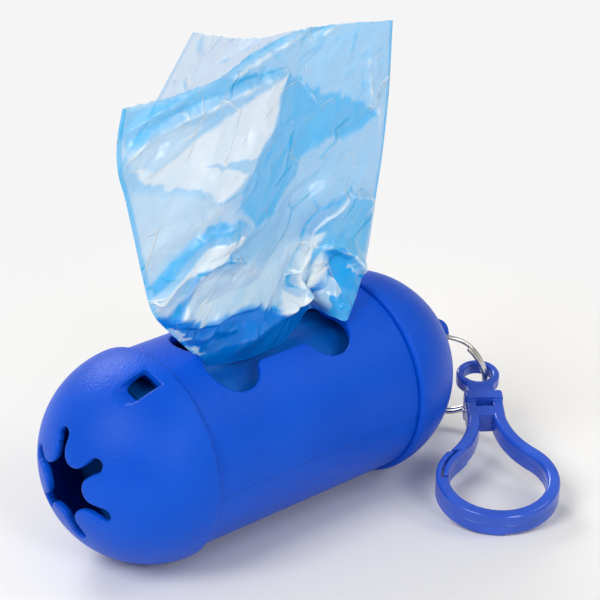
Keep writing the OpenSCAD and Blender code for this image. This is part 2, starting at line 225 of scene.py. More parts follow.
# %% [markdown]
# ## Floor and light
# The capsule lies on a pale sweep under soft studio light. The floor is one large sheet, which
# keeps the shadows, and from a hand's width away it fades to a plain pale tone, as a lit backdrop
# does. The fade is for the camera, for mirrors and for what shows through film, and casts no
# light. The main softbox stands at the upper left, two small ones in front and at the right give
# the glints, one behind lights the rims, and the pale surroundings fill the shadows.

# %% Lay the floor
backdrop_tone, paper_tone = srgb(245, 245, 246), srgb(234, 233, 231)
fade_start, fade_end, floor_reach = 0.075, 0.17, 3
floor_finish = Finish("floor_sweep")
away = floor_finish.node("ShaderNodeVectorMath", {"operation": "LENGTH"},
                         {0: floor_finish.place()}, out="Value")
camera_sees = floor_finish.node("ShaderNodeLightPath", out="Is Camera Ray")
mirror_sees = floor_finish.node("ShaderNodeLightPath", out="Is Glossy Ray")
glass_sees = floor_finish.node("ShaderNodeLightPath", out="Is Transmission Ray")
seen = (camera_sees + mirror_sees + glass_sees).between(0.0, 1.0)
paper = floor_finish.shader({
    "Base Color": paper_tone, "Roughness": 0.6, "Specular IOR Level": 0.2})
glow = floor_finish.node("ShaderNodeEmission", None, {"Color": backdrop_tone, "Strength": 1.0})
floor_material = floor_finish.ending(floor_finish.node(
    "ShaderNodeMixShader", None,
    {0: seen * away.between(fade_start, fade_end), 1: paper, 2: glow}))

floor_mesh = bpy.data.meshes.new("floor")
floor_corners = [(x * floor_reach, y * floor_reach, 0)
                 for x, y in ((-1, -1), (1, -1), (1, 1), (-1, 1))]
floor_mesh.from_pydata(floor_corners, [], [(0, 1, 2, 3)])
floor_mesh.materials.append(floor_material)
floor = bpy.data.objects.new("floor", floor_mesh)
bpy.context.scene.collection.objects.link(floor)
print("floor", tuple(round(v, 1) for v in floor.dimensions))

# %% Hang the lamps
world = bpy.data.worlds.new("studio")
world.use_nodes = True
bpy.context.scene.world = world
surroundings = world.node_tree.nodes["Background"]
surroundings.inputs["Color"].default_value = (0.97, 0.95, 0.91, 1.0)
surroundings.inputs["Strength"].default_value = 0.44


def hang_lamp(name, place, aim, width, height, watts):
    """A softbox at place that faces aim, both in metres."""
    data = bpy.data.lights.new(name, "AREA")
    data.shape, data.size, data.size_y, data.energy = "RECTANGLE", width, height, watts
    lamp = bpy.data.objects.new(name, data)
    lamp.location = place
    lamp.rotation_euler = (Vector(aim) - Vector(place)).to_track_quat("-Z", "Y").to_euler()
    bpy.context.scene.collection.objects.link(lamp)
    return lamp


hang_lamp("window_softbox", (-0.75, -0.05, 0.75), (0, 0, 0.04), 0.45, 0.5, 5.8)
hang_lamp("front_softbox", (-0.20, -0.82, 0.48), (0, 0, 0.05), 0.26, 0.26, 2.4)
hang_lamp("right_softbox", (0.50, -0.55, 0.72), (0, 0, 0.03), 0.3, 0.35, 1.3)
hang_lamp("back_softbox", (0.15, 0.8, 0.6), (0, 0, 0.03), 0.4, 0.3, 4.4)

# %% [markdown]
# ## Moulded plastic from a distance rule
# A moulding has soft edges everywhere, because no mould has a knife edge. Boolean cuts and bevels
# on a round shell tangle easily, so each moulding is written as a rule instead: how far a point
# lies outside the plastic, negative inside. Rules join and cut with a rounded edge for free. A
# mesher then walks a grid of points, puts one vertex in each cell that the surface crosses, slides
# it onto the surface, and takes the shading direction from the rule itself.

# %% Rules that join, cut and round
def cut_round(first, second, radius):
    """Keeps what is inside both, with the edge between them rounded."""
    inner = np.minimum(-radius, np.maximum(first, second))
    return inner + np.hypot(np.maximum(first + radius, 0), np.maximum(second + radius, 0))


def join_round(first, second, radius):
    """Keeps what is inside either, with a fillet between them."""
    return -cut_round(-first, -second, radius)


def rule_slope(rule, points, step=0.01):
    """The direction away from the plastic, by small steps each way."""
    slope = np.empty_like(points)
    for axis in range(3):
        shift = np.zeros(3)
        shift[axis] = step
        slope[:, axis] = (rule(*(points + shift).T) - rule(*(points - shift).T)) / (2 * step)
    return slope


print("rounded corner of two walls: %.3f" % cut_round(np.array([0.0]), np.array([0.0]), 0.5)[0])

# %% Mesh a rule
def mesh_rule(rule, low, high, cell):
    """Points, faces and shading directions of the surface where the rule is zero."""
    axes = [np.arange(a - cell * 1.37, b + cell * 1.63, cell) for a, b in zip(low, high)]
    value = rule(*np.meshgrid(*axes, indexing="ij"))
    shape = np.array(value.shape) - 1
    total, hits = np.zeros((*shape, 3)), np.zeros(shape)
    quads_by_axis = []
    for axis in range(3):
        others = [k for k in range(3) if k != axis]
        here = np.take(value, range(shape[axis]), axis)
        there = np.take(value, range(1, shape[axis] + 1), axis)
        crossing = (here < 0) != (there < 0)
        where = np.argwhere(crossing)
        part = here[crossing] / (here[crossing] - there[crossing])
        spot = np.stack([axes[k][where[:, k]] for k in range(3)], 1)
        spot[:, axis] += part * cell
        keep = np.all((where[:, others] > 0) & (where[:, others] < shape[others]), 1)
        where, spot, rising = where[keep], spot[keep], (here[crossing] < 0)[keep]
        corners = []
        for da, db in ((0, 0), (1, 0), (1, 1), (0, 1)):
            cell_index = where.copy()
            cell_index[:, others[0]] -= da
            cell_index[:, others[1]] -= db
            np.add.at(total, tuple(cell_index.T), spot)
            np.add.at(hits, tuple(cell_index.T), 1)
            corners.append(np.ravel_multi_index(tuple(cell_index.T), tuple(shape)))
        flip = rising if axis == 1 else ~rising
        quads = np.stack(corners, 1)
        quads[flip] = quads[flip][:, ::-1]
        quads_by_axis.append(quads)
    used = np.flatnonzero(hits)
    number = np.full(hits.size, -1)
    number[used] = np.arange(len(used))
    points = total.reshape(-1, 3)[used] / hits.ravel()[used, None]
    start = points.copy()
    for _ in range(4):
        slope = rule_slope(rule, points)
        size = np.maximum((slope ** 2).sum(1), 0.2)
        points -= (rule(*points.T) / size)[:, None] * slope
        points = start + np.clip(points - start, -0.7 * cell, 0.7 * cell)
    slope = rule_slope(rule, points)
    slope /= np.maximum(np.linalg.norm(slope, axis=1), 1e-9)[:, None]
    return points, number[np.concatenate(quads_by_axis)], slope


def ball_rule(x, y, z):
    return np.sqrt(x * x + y * y + z * z) - 2.0


ball_points = mesh_rule(ball_rule, (-2,) * 3, (2,) * 3, 1.0)[0]
print("a test ball of radius 2 is meshed within %.4f of its surface"
      % np.abs(np.linalg.norm(ball_points, axis=1) - 2.0).max())

# %% Turn points and faces into a piece
def make_piece(name, points, faces, material, body, normals=None):
    """A smooth mesh object in the frame that rides on a body."""
    mesh = bpy.data.meshes.new(name)
    mesh.from_pydata(points.tolist(), [], list(map(list, faces)))
    mesh.polygons.foreach_set("use_smooth", [True] * len(mesh.polygons))
    mesh.materials.append(material)
    if normals is not None:
        mesh.normals_split_custom_set_from_vertices(normals.tolist())
    mesh.update()
    piece = bpy.data.objects.new(name, mesh)
    bpy.context.scene.collection.objects.link(piece)
    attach(piece, body)
    print("%s: %d points, %d faces" % (name, len(mesh.vertices), len(mesh.polygons)))
    return piece


def mould(name, rule, low, high, cell, material, body, turned=np.eye(3), origin=(0, 0, 0)):
    """A moulded piece from its rule, drawn in millimetres about its own axes."""
    points, faces, slope = mesh_rule(rule, low, high, cell)
    return make_piece(name, to_frame(points, turned, origin), faces, material, body,
                      slope @ turned.T)


# %% [markdown]
# ## Satin blue polypropylene
# The capsule is moulded in a deep blue with a very fine matt texture etched into the mould, so
# highlights spread into soft lavender patches. A fine grain in the bump and a slow change of
# roughness give that. Handling polishes the plastic in places, and the colour drifts by a few
# percent with it. The tube also shows the fine line where the halves of its mould met.

# %% Mix the capsule's finish
def capsule_plastic(name, parting_height=None):
    finish = Finish(name)
    cloudy = finish.noise(60.0, 3.0)
    speckle = finish.noise(2600.0, 2.0, 0.6)
    colour = finish.mix(cloudy.between(0.35, 0.65), srgb(0, 76, 198), srgb(2, 82, 206))
    rough = 0.30 + 0.10 * cloudy + 0.04 * speckle
    relief = finish.bump(speckle, 0.00014, 0.8)
    relief = finish.bump(finish.noise(420.0, 2.0), 0.00012, 0.18, under=relief)
    if parting_height:
        height = finish.node("ShaderNodeSeparateXYZ", None, {0: finish.place()}, out="Z")
        line = 1 - abs(height - parting_height).between(0.00006, 0.00020)
        relief = finish.bump(line, 0.00010, 0.9, under=relief)
    return finish.surface({
        "Base Color": colour, "Roughness": rough, "Normal": relief, "IOR": 1.45,
        "Specular IOR Level": 0.18})


tube_plastic = capsule_plastic("satin_blue_tube", parting_height=float(capsule_middle[2]) - 0.0024)
cap_plastic = capsule_plastic("satin_blue_caps")
print("capsule finishes:", tube_plastic.name, cap_plastic.name)

# %% [markdown]
# ## The tube
# The tube is a plain pipe with a bone-shaped slot, leaning a little to the front, and a raised
# thread inside each end. The slot's outline is four circles and three bars joined with small
# fillets, so that no corner can tear the film that is drawn over it.

# %% Draw the bone slot
tube_outer, tube_inner, lip = 19.0, 17.2, 25.0
slot_lean, slot_middle = math.radians(14.5), -1.6
lobe_along, lobe_out, lobe_radius = 11.2, 4.3, 5.3


def bar_rule(x, y, half_long, half_wide):
    """A flat bar about the origin."""
    dx, dy = np.abs(x) - half_long, np.abs(y) - half_wide
    return np.hypot(np.maximum(dx, 0), np.maximum(dy, 0)) + np.minimum(np.maximum(dx, dy), 0)


def bone_rule(x, y):
    """The outline of the dispensing slot, laid flat."""
    lobe = np.hypot(np.abs(x) - lobe_along, np.abs(y) - lobe_out) - lobe_radius
    waist = bar_rule(x, y, lobe_along, 5.5)
    end = bar_rule(np.abs(x) - lobe_along, y, 3.975, 2.58)
    return join_round(np.minimum(lobe, end), waist, 0.9)


print("slot %.1f mm long and %.1f mm wide at its lobes"
      % (2 * (lobe_along + lobe_radius), 2 * (lobe_out + lobe_radius)))

# %% [markdown]
# The caps screw in with a coarse thread of little more than one turn, as bottle caps do: one ridge
# in each end of the tube and one on each spigot. A thread is a rule as well. It finds how far round
# the axis a point lies, and from that where the climbing ridge is.

# %% Draw a thread
thread_turns, thread_pitch, thread_lead = 1.2, 3.0, 0.9
thread_tip, thread_foot = 0.275, 0.525


def thread_rule(x, y, z, start, foot, tip):
    """A ridge that climbs along the axis as it goes round, from its foot to its tip."""
    reach = np.hypot(y, z)
    angle = np.mod(np.arctan2(z, y), 2 * np.pi)
    rise = (reach - foot) / (tip - foot)
    half = thread_foot + (thread_tip - thread_foot) * np.clip(rise, 0, 1)
    nearest = np.full_like(reach, 9.0)
    for lap in (0, 1):
        along = angle / (2 * np.pi) + lap
        side = np.abs(x - start - thread_pitch * along) - half
        end = (along - thread_turns) * 30.0
        nearest = np.minimum(nearest, np.maximum(side, end))
    out = 1 if tip > foot else -1
    nearest = np.maximum(nearest, out * (foot - reach) - 0.2)
    return cut_round(nearest * 0.9, out * (reach - tip), 0.12)


print("thread rises %.1f mm in %.1f turns" % (thread_pitch * thread_turns, thread_turns))

# %% Mould the tube
def tube_rule(x, y, z):
    reach = np.hypot(y, z)
    shell = np.maximum(reach - tube_outer, tube_inner - reach)
    for end in (-1, 1):
        start = lip - thread_lead - thread_pitch * 1.7
        shell = join_round(shell, thread_rule(end * x, end * y, z, start, 17.7, 16.65), 0.12)
    shell = cut_round(shell, np.abs(x) - lip, 0.3)
    across = y * math.cos(slot_lean) + z * math.sin(slot_lean)
    upward = z * math.cos(slot_lean) - y * math.sin(slot_lean)
    slot = np.where(upward > 0, bone_rule(x - slot_middle, across), 9.0)
    return cut_round(shell, -slot, 0.45)


tube = mould("capsule_tube", tube_rule, (-lip, -19.1, -19.1), (lip, 19.1, 19.1), 0.42,
             tube_plastic, "capsule")
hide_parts("body_tube")

# %% [markdown]
# ## The two caps
# Both caps come out of nearly the same mould: half a ball with a short threaded spigot. The
# front one has a star cut through its tip, so that a finger can reach the roll, and a narrow
# slot near its lip. The star repeats six times round the axis, so its rule folds every direction
# into one sector and only describes one arm and half a petal.

# %% Draw the cap shell
cap_outer, cap_inner, spigot_outer, spigot_inner, spigot_long = 20.0, 18.3, 16.5, 15.4, 6.0


def cap_rule(x, y, z):
    """Half a ball with a flange inside its lip and a threaded spigot, lip at x = 0."""
    reach, ball = np.hypot(y, z), np.sqrt(x * x + y * y + z * z)
    dome = cut_round(ball - cap_outer, -x, 0.85)
    spigot = cut_round(cut_round(reach - spigot_outer, -spigot_long - x, 0.3), x - 2.0, 0.3)
    hollow = join_round(cut_round(ball - cap_inner, 1.5 - x, 0.2),
                        np.maximum(reach - spigot_inner, x - 3.0), 0.2)
    shell = cut_round(np.minimum(dome, spigot), -hollow, 0.2)
    ridge = thread_rule(x, y, z, -thread_lead - thread_pitch * thread_turns, 16.0, 17.05)
    return join_round(shell, ridge, 0.12)


print("cap walls %.1f mm, spigot walls %.1f mm"
      % (cap_outer - cap_inner, spigot_outer - spigot_inner))


# %% Draw the star and the hanging slot
def star_rule(y, z):
    """Six round-ended arms between six round petals."""
    arm_reach, petal_reach = 8.9, 7.8
    reach = np.hypot(y, z)
    angle = np.abs(np.mod(np.arctan2(z, y) + np.pi / 6, np.pi / 3) - np.pi / 6)
    along, beside = reach * np.cos(angle), reach * np.sin(angle)
    arm = np.hypot(np.maximum(along - arm_reach, 0), beside) - 0.95
    arm = join_round(arm, np.hypot(along - arm_reach, beside) - 1.3, 0.3)
    petal_y, petal_x = petal_reach * math.sin(math.pi / 6), petal_reach * math.cos(math.pi / 6)
    middle = np.maximum(reach - petal_reach, 3.0 - np.hypot(along - petal_x, beside - petal_y))
    return join_round(middle, arm, 0.3)


def front_cap_rule(x, y, z):
    star = np.maximum(star_rule(y, z), 10.0 - x)
    beside, below = np.abs(y) - 1.05, 18.0 - z
    trough = np.hypot(np.maximum(beside, 0), np.maximum(below, 0)) - 1.2
    hanging = np.maximum(trough, 3.6 - x)
    shell = cut_round(cap_rule(x, y, z), -star, 0.65)
    return cut_round(shell, -hanging, 0.5)


print("inside the star at its middle:", bool(star_rule(np.array([0.0]), np.array([0.0]))[0] < 0))

# %% Mould the front cap
front_turn = turn("z", 180) @ turn("x", -19)
front_cap = mould("front_cap_moulding", front_cap_rule, (-6, -20.1, -20.1), (20, 20.1, 20.1), 0.38,
                  cap_plastic, "front_cap", front_turn, front_turn @ (lip, 0, 0))
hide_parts("front_cap")

# %% [markdown]
# The rear cap carries a flat lug with a hole, which holds the split ring. On the real moulding it
# grows out of the dome with a fillet, which here is one rounded join.

# %% Mould the rear cap with its lug
def rear_cap_rule(x, y, z):
    lug_along, lug_radius, hole_radius = 22.6, 4.4, 2.8
    disc = np.hypot(x - lug_along, z) - lug_radius
    neck = np.maximum(np.maximum(np.abs(z) - lug_radius, x - lug_along), 19.0 - x)
    plate = cut_round(np.minimum(disc, neck), np.abs(y) - 1.0, 0.45)
    plate = cut_round(plate, hole_radius - np.hypot(x - lug_along, z), 0.45)
    plate = np.maximum(plate, 18.7 - np.sqrt(x * x + y * y + z * z))
    return join_round(cap_rule(x, y, z), plate, 0.7)


rear_cap = mould("rear_cap_moulding", rear_cap_rule, (-6, -20.1, -20.1), (27.2, 20.1, 20.1), 0.38,
                 cap_plastic, "rear_cap", np.eye(3), (lip, 0, 0))
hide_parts("rear_cap")

# %% [markdown]
# ## Glossy hook plastic
# The snap hook comes from another maker than the capsule. Its blue is a little more violet, its
# mould was polished, and so its highlights are tighter. The two halves of the mould met at half
# height and left a fine line all round, which is found here from the height above the hook's
# own middle plane.

# %% Mix the hook's finish
hook_finish = Finish("glossy_violet_blue")
hook_cloud = hook_finish.noise(140.0, 3.0)
hook_turn = turn("z", 50.3) @ turn("y", -12.95)
hook_origin = np.array([53.5, -7.4, -7.715])
hook_up = tuple(hook_turn @ (0, 0, 1))
mould_height = hook_finish.node("ShaderNodeVectorMath", {"operation": "DOT_PRODUCT"}, {
    0: hook_finish.place(), 1: hook_up}, out="Value")
mould_middle = float(np.dot(hook_up, hook_origin / 1000 + capsule_middle))
mould_line = 1 - abs(mould_height - mould_middle).between(0.00005, 0.00018)
hook_relief = hook_finish.bump(hook_finish.noise(900.0, 2.0), 0.00003, 0.4)
hook_relief = hook_finish.bump(mould_line, 0.00012, 0.9, under=hook_relief)
hook_blue = hook_finish.mix(hook_cloud.between(0.35, 0.65), srgb(36, 80, 190), srgb(44, 88, 200))
hook_plastic = hook_finish.surface({
    "Base Color": hook_blue, "Roughness": 0.15 + 0.10 * hook_cloud, "Normal": hook_relief,
    "IOR": 1.52})
print("hook finish:", hook_plastic.name)

# %% [markdown]
# ## The hook's eye
# A flat eye on a shank turns in the hook's collar. The head of the shank shows in a small window
# behind the collar. The eye is drawn about its own middle, with the hook towards -X.

# %% Mould the swivel eye
def swivel_rule(x, y, z):
    disc, hole = np.hypot(x, y) - 4.3, 2.8 - np.hypot(x, y)
    eye = cut_round(cut_round(disc, np.abs(z) - 1.4, 0.6), hole, 0.6)
    tab = cut_round(np.abs(y) - 2.8, np.abs(z) - 1.2, 0.5)
    tab = cut_round(cut_round(tab, -7.55 - x, 0.3), np.maximum(x + 1.5, hole), 0.3)
    shank = np.maximum(np.maximum(np.hypot(y, z) - 0.9, x + 7.0), -11.4 - x)
    head = cut_round(np.hypot(y, z) - 1.4, np.abs(x + 10.85) - 0.6, 0.2)
    return np.minimum(join_round(eye, tab, 0.6), np.minimum(shank, head))


swivel = mould("swivel_eye_moulding", swivel_rule, (-11.6, -4.4, -1.5), (4.4, 4.4, 1.5), 0.2,
               hook_plastic, "swivel", hook_turn, hook_origin)
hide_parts("swivel_eye")

# %% [markdown]
# ## The snap hook
# Seen from above, the hook is a round loop that flows into two straight arms through hollow
# curves. One distance rule for that outline is enough: the bar is everything from the outline
# to 2.5 mm inside it. The gate is the front arm, cut free from the loop with a long lap.

# %% Draw the hook's outline
hook_long, loop_radius, hollow_radius, bar_half_high = 44.6, 11.7, 17.0, 2.35
hollow_x, hollow_y = 19.88, 20.7


def hook_outline_rule(x, y):
    """How far a point lies outside the outline of the hook, seen from above."""
    along, side = x + hook_long - loop_radius, np.abs(y)
    loop = np.hypot(along, side) - loop_radius
    hollow = hollow_radius - np.hypot(along - hollow_x, side - hollow_y)
    on_loop = side * hollow_x > along * hollow_y
    return np.where(on_loop, loop, np.where(along < hollow_x, hollow, side - 3.7))


def hook_bar_rule(outside, z, outer=0.0, inner=2.5, edge=0.85):
    """The hook's bar between two depths inside the outline, rounded along its edges."""
    middle, half = (outer + inner) / 2, (inner - outer) / 2
    return cut_round(np.abs(outside + middle) - half, np.abs(z) - bar_half_high,
                     min(edge, half - 0.12))


print("hook %.1f mm long, loop %.1f mm wide" % (hook_long, 2 * loop_radius))

# %% Mould the hook's loop, web and collar
def hook_rule(x, y, z):
    outside = hook_outline_rule(x, y)
    gate_side = y > 0
    bar = hook_bar_rule(outside, z)
    tongue = hook_bar_rule(outside, z, 0.0, 1.1, 0.4)
    tongue = cut_round(tongue, x + 25.2, 0.3)
    bar = np.where(gate_side, np.minimum(cut_round(bar, x + 32.6, 0.3), tongue), bar)
    bar = np.maximum(bar, x + 8.6)
    web = cut_round(outside, np.abs(z) - bar_half_high, 0.6)
    web = cut_round(web, np.maximum(-14.3 - x, x + 7.81), 0.4)
    collar = cut_round(np.abs(y) - 3.8, np.abs(z) - 3.15, 0.7)
    collar = cut_round(collar, np.abs(x + 8.9) - 1.1, 0.35)
    body = join_round(np.minimum(bar, web), collar, 0.25)
    window = np.maximum(np.abs(x + 10.85) - 0.85, np.abs(y) - 1.65)
    bore = np.maximum(np.hypot(y, z) - 0.96, -12.0 - x)
    return cut_round(cut_round(body, -window, 0.2), -bore, 0.15)


hook = mould("snap_hook_moulding", hook_rule, (-44.7, -11.8, -3.2), (-7.7, 11.8, 3.2), 0.24,
             hook_plastic, "hook", hook_turn, hook_origin)
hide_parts("hook_body")

# %% [markdown]
# The gate is moulded in one with the web and bends there. It is a piece of its own here, because
# it moves, and it ends in a round root inside the web, so that the joint looks whole at rest and
# when it is pressed.

# %% Mould the gate
def gate_rule(x, y, z):
    outside = hook_outline_rule(x, y)
    arm = hook_bar_rule(outside + 0.012, z * 1.006)
    arm = cut_round(np.maximum(arm, x + 13.8), -24.6 - x, 0.3)
    root = cut_round(np.hypot(x + 13.8, y - 2.45) - 1.22, np.abs(z) - 2.3, 0.5)
    tongue = cut_round(hook_bar_rule(outside, z, 1.4, 2.5, 0.4), -32.0 - x, 0.3)
    tongue = np.maximum(tongue, x + 24.0)
    gate = np.minimum(np.minimum(arm, root), tongue)
    return np.where(y > 0.2, gate, np.maximum(gate, 0.5))


gate = mould("gate_moulding", gate_rule, (-32.2, 0.6, -2.4), (-12.5, 11.9, 2.4), 0.22,
             hook_plastic, "gate", hook_turn, hook_origin)
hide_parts("gate_arm")

# %% [markdown]
# ## The split ring
# The ring is one steel wire of nearly two turns. A curve with a bevel would do, but its ends
# would be closed by a flat cap in one plane only, so the wire is swept by hand: a circle of
# points at each step, with the ends cut square and softened.

# %% Sweep the wire
def sweep_wire(path, radius, sides, end_round):
    """Points and faces of a round wire along a path, with softened square ends."""
    ahead = np.gradient(path, axis=0)
    ahead /= np.linalg.norm(ahead, axis=1)[:, None]
    length = np.concatenate([[0], np.cumsum(np.linalg.norm(np.diff(path, axis=0), axis=1))])
    side = np.cross(ahead[0], (0, 0, 1.0))
    side /= np.linalg.norm(side)
    rings = []
    for point, forward, run in zip(path, ahead, length):
        side = side - forward * (side @ forward)
        side /= np.linalg.norm(side)
        other = np.cross(forward, side)
        from_end = min(run, length[-1] - run)
        swell = radius - end_round * max(0.0, 1 - from_end / end_round) ** 2
        turns = np.arange(sides) * 2 * np.pi / sides
        circle = np.cos(turns)[:, None] * side + np.sin(turns)[:, None] * other
        rings.append(point + swell * circle)
    points = np.concatenate(rings)
    faces = [[i * sides + k, i * sides + (k + 1) % sides, (i + 1) * sides + (k + 1) % sides,
              (i + 1) * sides + k] for i in range(len(path) - 1) for k in range(sides)]
    faces += [list(range(sides))[::-1], [(len(path) - 1) * sides + k for k in range(sides)]]
    return points, faces


ring_radius, ring_aside, wire_radius, wire_start = 9.25, 1.3, 0.45, 131
ring_drop = math.sqrt(ring_radius ** 2 - ring_aside ** 2)
ring_turn = turn("z", 29) @ turn("y", -10)
ring_origin = np.array([48.0, 0.0, 1.2]) + ring_turn @ (0, -ring_aside, -ring_drop)
wire_turn = np.concatenate([
    [0, 0.3, 0.8, 1.5], np.linspace(2.5, 681.5, 226), [682.5, 683.2, 683.7, 684]])
step_over = np.clip((wire_turn / 360 - 0.9) / 0.1, 0, 1)
lift = step_over ** 2 * (3 - 2 * step_over) - 0.5
wire_angle = np.radians(wire_start + wire_turn)
wire_path = np.stack([
    lift, ring_radius * np.cos(wire_angle), ring_radius * np.sin(wire_angle)], 1)
wire_points, wire_faces = sweep_wire(wire_path, wire_radius, 14, 0.12)
print("wire length %.1f mm" % np.linalg.norm(np.diff(wire_path, axis=0), axis=1).sum())

# %% [markdown]
# The wire is plated with nickel: a warm grey metal that is bright but not a mirror, with fine
# scratches along its length from the machine that wound it.

# %% Plate the ring
steel_finish = Finish("nickel_wire")
along_wire = steel_finish.stretched((0, -10, 29), (0.16, 1.0, 1.0))
scratches = steel_finish.noise(900.0, 3.0, 0.6, place=along_wire)
tarnish = steel_finish.noise(240.0, 2.0).between(0.3, 0.7)
nickel = steel_finish.surface({
    "Base Color": steel_finish.mix(tarnish, srgb(196, 192, 186), srgb(222, 220, 217)),
    "Metallic": 1.0, "Roughness": 0.20 + 0.14 * scratches,
    "Normal": steel_finish.bump(scratches, 0.00002, 0.4)})
ring = make_piece("split_ring_wire", to_frame(wire_points, ring_turn, ring_origin), wire_faces,
                  nickel, "ring")
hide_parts("split_ring")

# %% [markdown]
# ## The roll of bags and its core
# The roll is a long strip of flattened bags wound on a paper core, so its ends show hundreds of
# film edges and its side shows shallow wrinkles and the lip of the last turn. Modelling each turn
# would take millions of faces. The end faces get a few dozen spiral steps instead, and the side
# is pressed slightly out of round.

# %% Wind the roll
def go_round(x, reach, angle):
    """A row of points round the axis, at one place along it or at a place each."""
    return np.stack([x + 0 * angle, reach * np.cos(angle), reach * np.sin(angle)], 1)


def lathe_skin(rows):
    """Points and faces of a closed skin over rows of points that each go round the axis."""
    count, sides = len(rows), len(rows[0])
    return np.concatenate(rows), [
        [i * sides + k, ((i + 1) % count) * sides + k, ((i + 1) % count) * sides + (k + 1) % sides,
         i * sides + (k + 1) % sides] for i in range(count) for k in range(sides)]


roll_sides, roll_rings, hole_reach, end_reach = 180, 60, 6.02, 14.45
angle = np.arange(roll_sides) * 2 * np.pi / roll_sides
wrinkle = 0.10 * np.sin(3 * angle + 0.7) + 0.06 * np.sin(7 * angle) + 0.05 * np.sin(16 * angle + 2)
lap_step = 0.35 * np.mod(angle / (2 * np.pi) + 0.62, 1.0)
rows = []
for x in np.linspace(-30.8, 30.8, 40):
    ripple = 0.06 * np.sin(0.5 * x + 5 * angle) + 0.05 * np.sin(1.3 * x - 9 * angle)
    rows.append(go_round(x, 14.72 - lap_step + wrinkle + ripple, angle))
for end, order in ((1, np.linspace(1, 0, roll_rings)), (-1, np.linspace(0, 1, roll_rings))):
    for share in order:
        reach = hole_reach + (end_reach - hole_reach) * share - lap_step * share
        turn_mark = np.mod(share * 16 + angle / (2 * np.pi), 1.0)
        x = end * (30.75 - 0.22 * turn_mark + 0.25 * np.sin(5 * share + end))
        rows.append(go_round(x, reach, angle))
roll_points, roll_faces = lathe_skin(rows)
print("roll rows:", len(rows))

# %% Finish the rolled film
roll_finish = Finish("rolled_film")
along_roll = roll_finish.stretched((0, 0, 0), (4.0, 1.0, 1.0))
roll_grain = roll_finish.noise(500.0, 3.0, 0.6, place=along_roll)
roll_cloud = roll_finish.noise(120.0, 2.0).between(0.3, 0.7)
rolled_film = roll_finish.surface({
    "Base Color": roll_finish.mix(roll_cloud, srgb(0, 80, 170), srgb(0, 104, 196)),
    "Roughness": 0.3 + 0.2 * roll_grain, "Specular IOR Level": 0.2,
    "Normal": roll_finish.bump(roll_grain, 0.0003, 0.6)})
roll = make_piece("roll_of_bags", to_frame(roll_points), roll_faces, rolled_film, "roll")
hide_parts("bag_roll")

# %% [markdown]
# The core is a tube of grey-brown board, wound from a strip, with a seam that runs round it as
# a long screw and slightly soft ends.

# %% Wind the paper core
core_sides, core_end, strip_width = 72, 31.0, 16.0
core_angle = np.arange(core_sides) * 2 * np.pi / core_sides
stations = np.concatenate([[-31.0, -30.9, -30.6], np.linspace(-30, 30, 90), [30.6, 30.9, 31.0]])
core_rows = []
for skin, inward, order in ((5.97, -1, stations), (4.8, 1, stations[::-1])):
    for x in order:
        lap = np.mod(x / strip_width - core_angle / (2 * np.pi) + 0.5, 1.0)
        seam = np.abs(lap - 0.5) * strip_width
        end_soft = 0.14 * max(0.0, 1 - (core_end - abs(x)) / 0.4) ** 2
        dent = 0.10 * np.exp(-(seam / 0.35) ** 2) + end_soft
        core_rows.append(go_round(x, skin + inward * dent, core_angle))
core_points, core_faces = lathe_skin(core_rows)
board_finish = Finish("core_board")
along_board = board_finish.stretched((0, 0, 0), (3.3, 1.0, 1.0))
fibres = board_finish.noise(800.0, 4.0, 0.65, place=along_board)
board_tone = fibres.between(0.3, 0.7)
core_board = board_finish.surface({
    "Base Color": board_finish.mix(board_tone, srgb(172, 150, 118), srgb(201, 182, 152)),
    "Roughness": 0.75 + 0.2 * fibres, "Specular IOR Level": 0.25,
    "Normal": board_finish.bump(fibres, 0.0001, 0.7)})
core = make_piece("paper_core", to_frame(core_points), core_faces, core_board, "roll")
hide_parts("roll_core")

# %% [markdown]
# ## The bag that is pulled out
# A bag is a flat tube of very thin film. This one is drawn up through the slot, where it is
# gathered tight, and spreads above it into two panels. They are joined down the right side and
# along the lower left, and part at the upper left, where the mouth hangs open. A simulation of
# film this thin is slow and never lands in the same folds, so each panel is laid as a
# smooth sheet between its four edges, which are given as a few points each in millimetres about
# the capsule's middle.

# %% The edges of the two panels
slot_foot = [(-14.3, -3.9, 15.0), (-10.0, -4.9, 14.6), (-5.5, -5.5, 14.4), (-0.9, -5.3, 14.45),
             (3.8, -4.7, 14.6), (8.6, -2.9, 15.7), (12.2, -2.6, 18.0), (12.6, -8.2, 18.0),
             (14.3, -10.0, 17.3), (17.7, -8.3, 18.4)]
slot_foot_back = [slot_foot[0], (-10.0, -3.0, 15.2), (-5.5, -3.1, 15.2), (-0.9, -2.9, 15.2),
                  (3.8, -1.9, 15.3), (8.6, -0.9, 16.0), *slot_foot[-4:]]
left_low = [(-23.9, -4.8, 25.1), (-27.7, -5.2, 30.0), (-29.8, -5.6, 36.7), (-31.8, -6.0, 44.8),
            (-33.5, -6.0, 52.6)]
left_front = [(-34.6, -5.7, 57.5), (-34.2, -5.2, 62.6), (-32.3, -4.5, 67.8)]
left_back = [left_front[0], (-24.5, -2.0, 64.6), (-10.3, 3.0, 74.8)]
right_up = [(21.5, -6.4, 21.8), (24.5, -5.0, 26.0), (26.5, -4.2, 31.3), (28.3, -3.6, 37.7),
            (30.3, -3.0, 44.9), (32.2, -2.5, 56.1), (33.4, -2.0, 69.1)]
front_mouth = [(-22.1, -6.0, 68.1), (-10.8, -5.5, 69.2), (6.4, -2.5, 71.8), (18.7, -2.0, 71.2)]
back_mouth = [(-1.3, 5.0, 71.5), (7.4, 5.8, 69.4), (15.0, 4.8, 69.4), (23.4, 1.5, 69.6)]
print("foot %.1f mm wide, mouth %.1f mm wide" % (
    slot_foot[-1][0] - slot_foot[0][0], right_up[-1][0] - left_front[-1][0]))


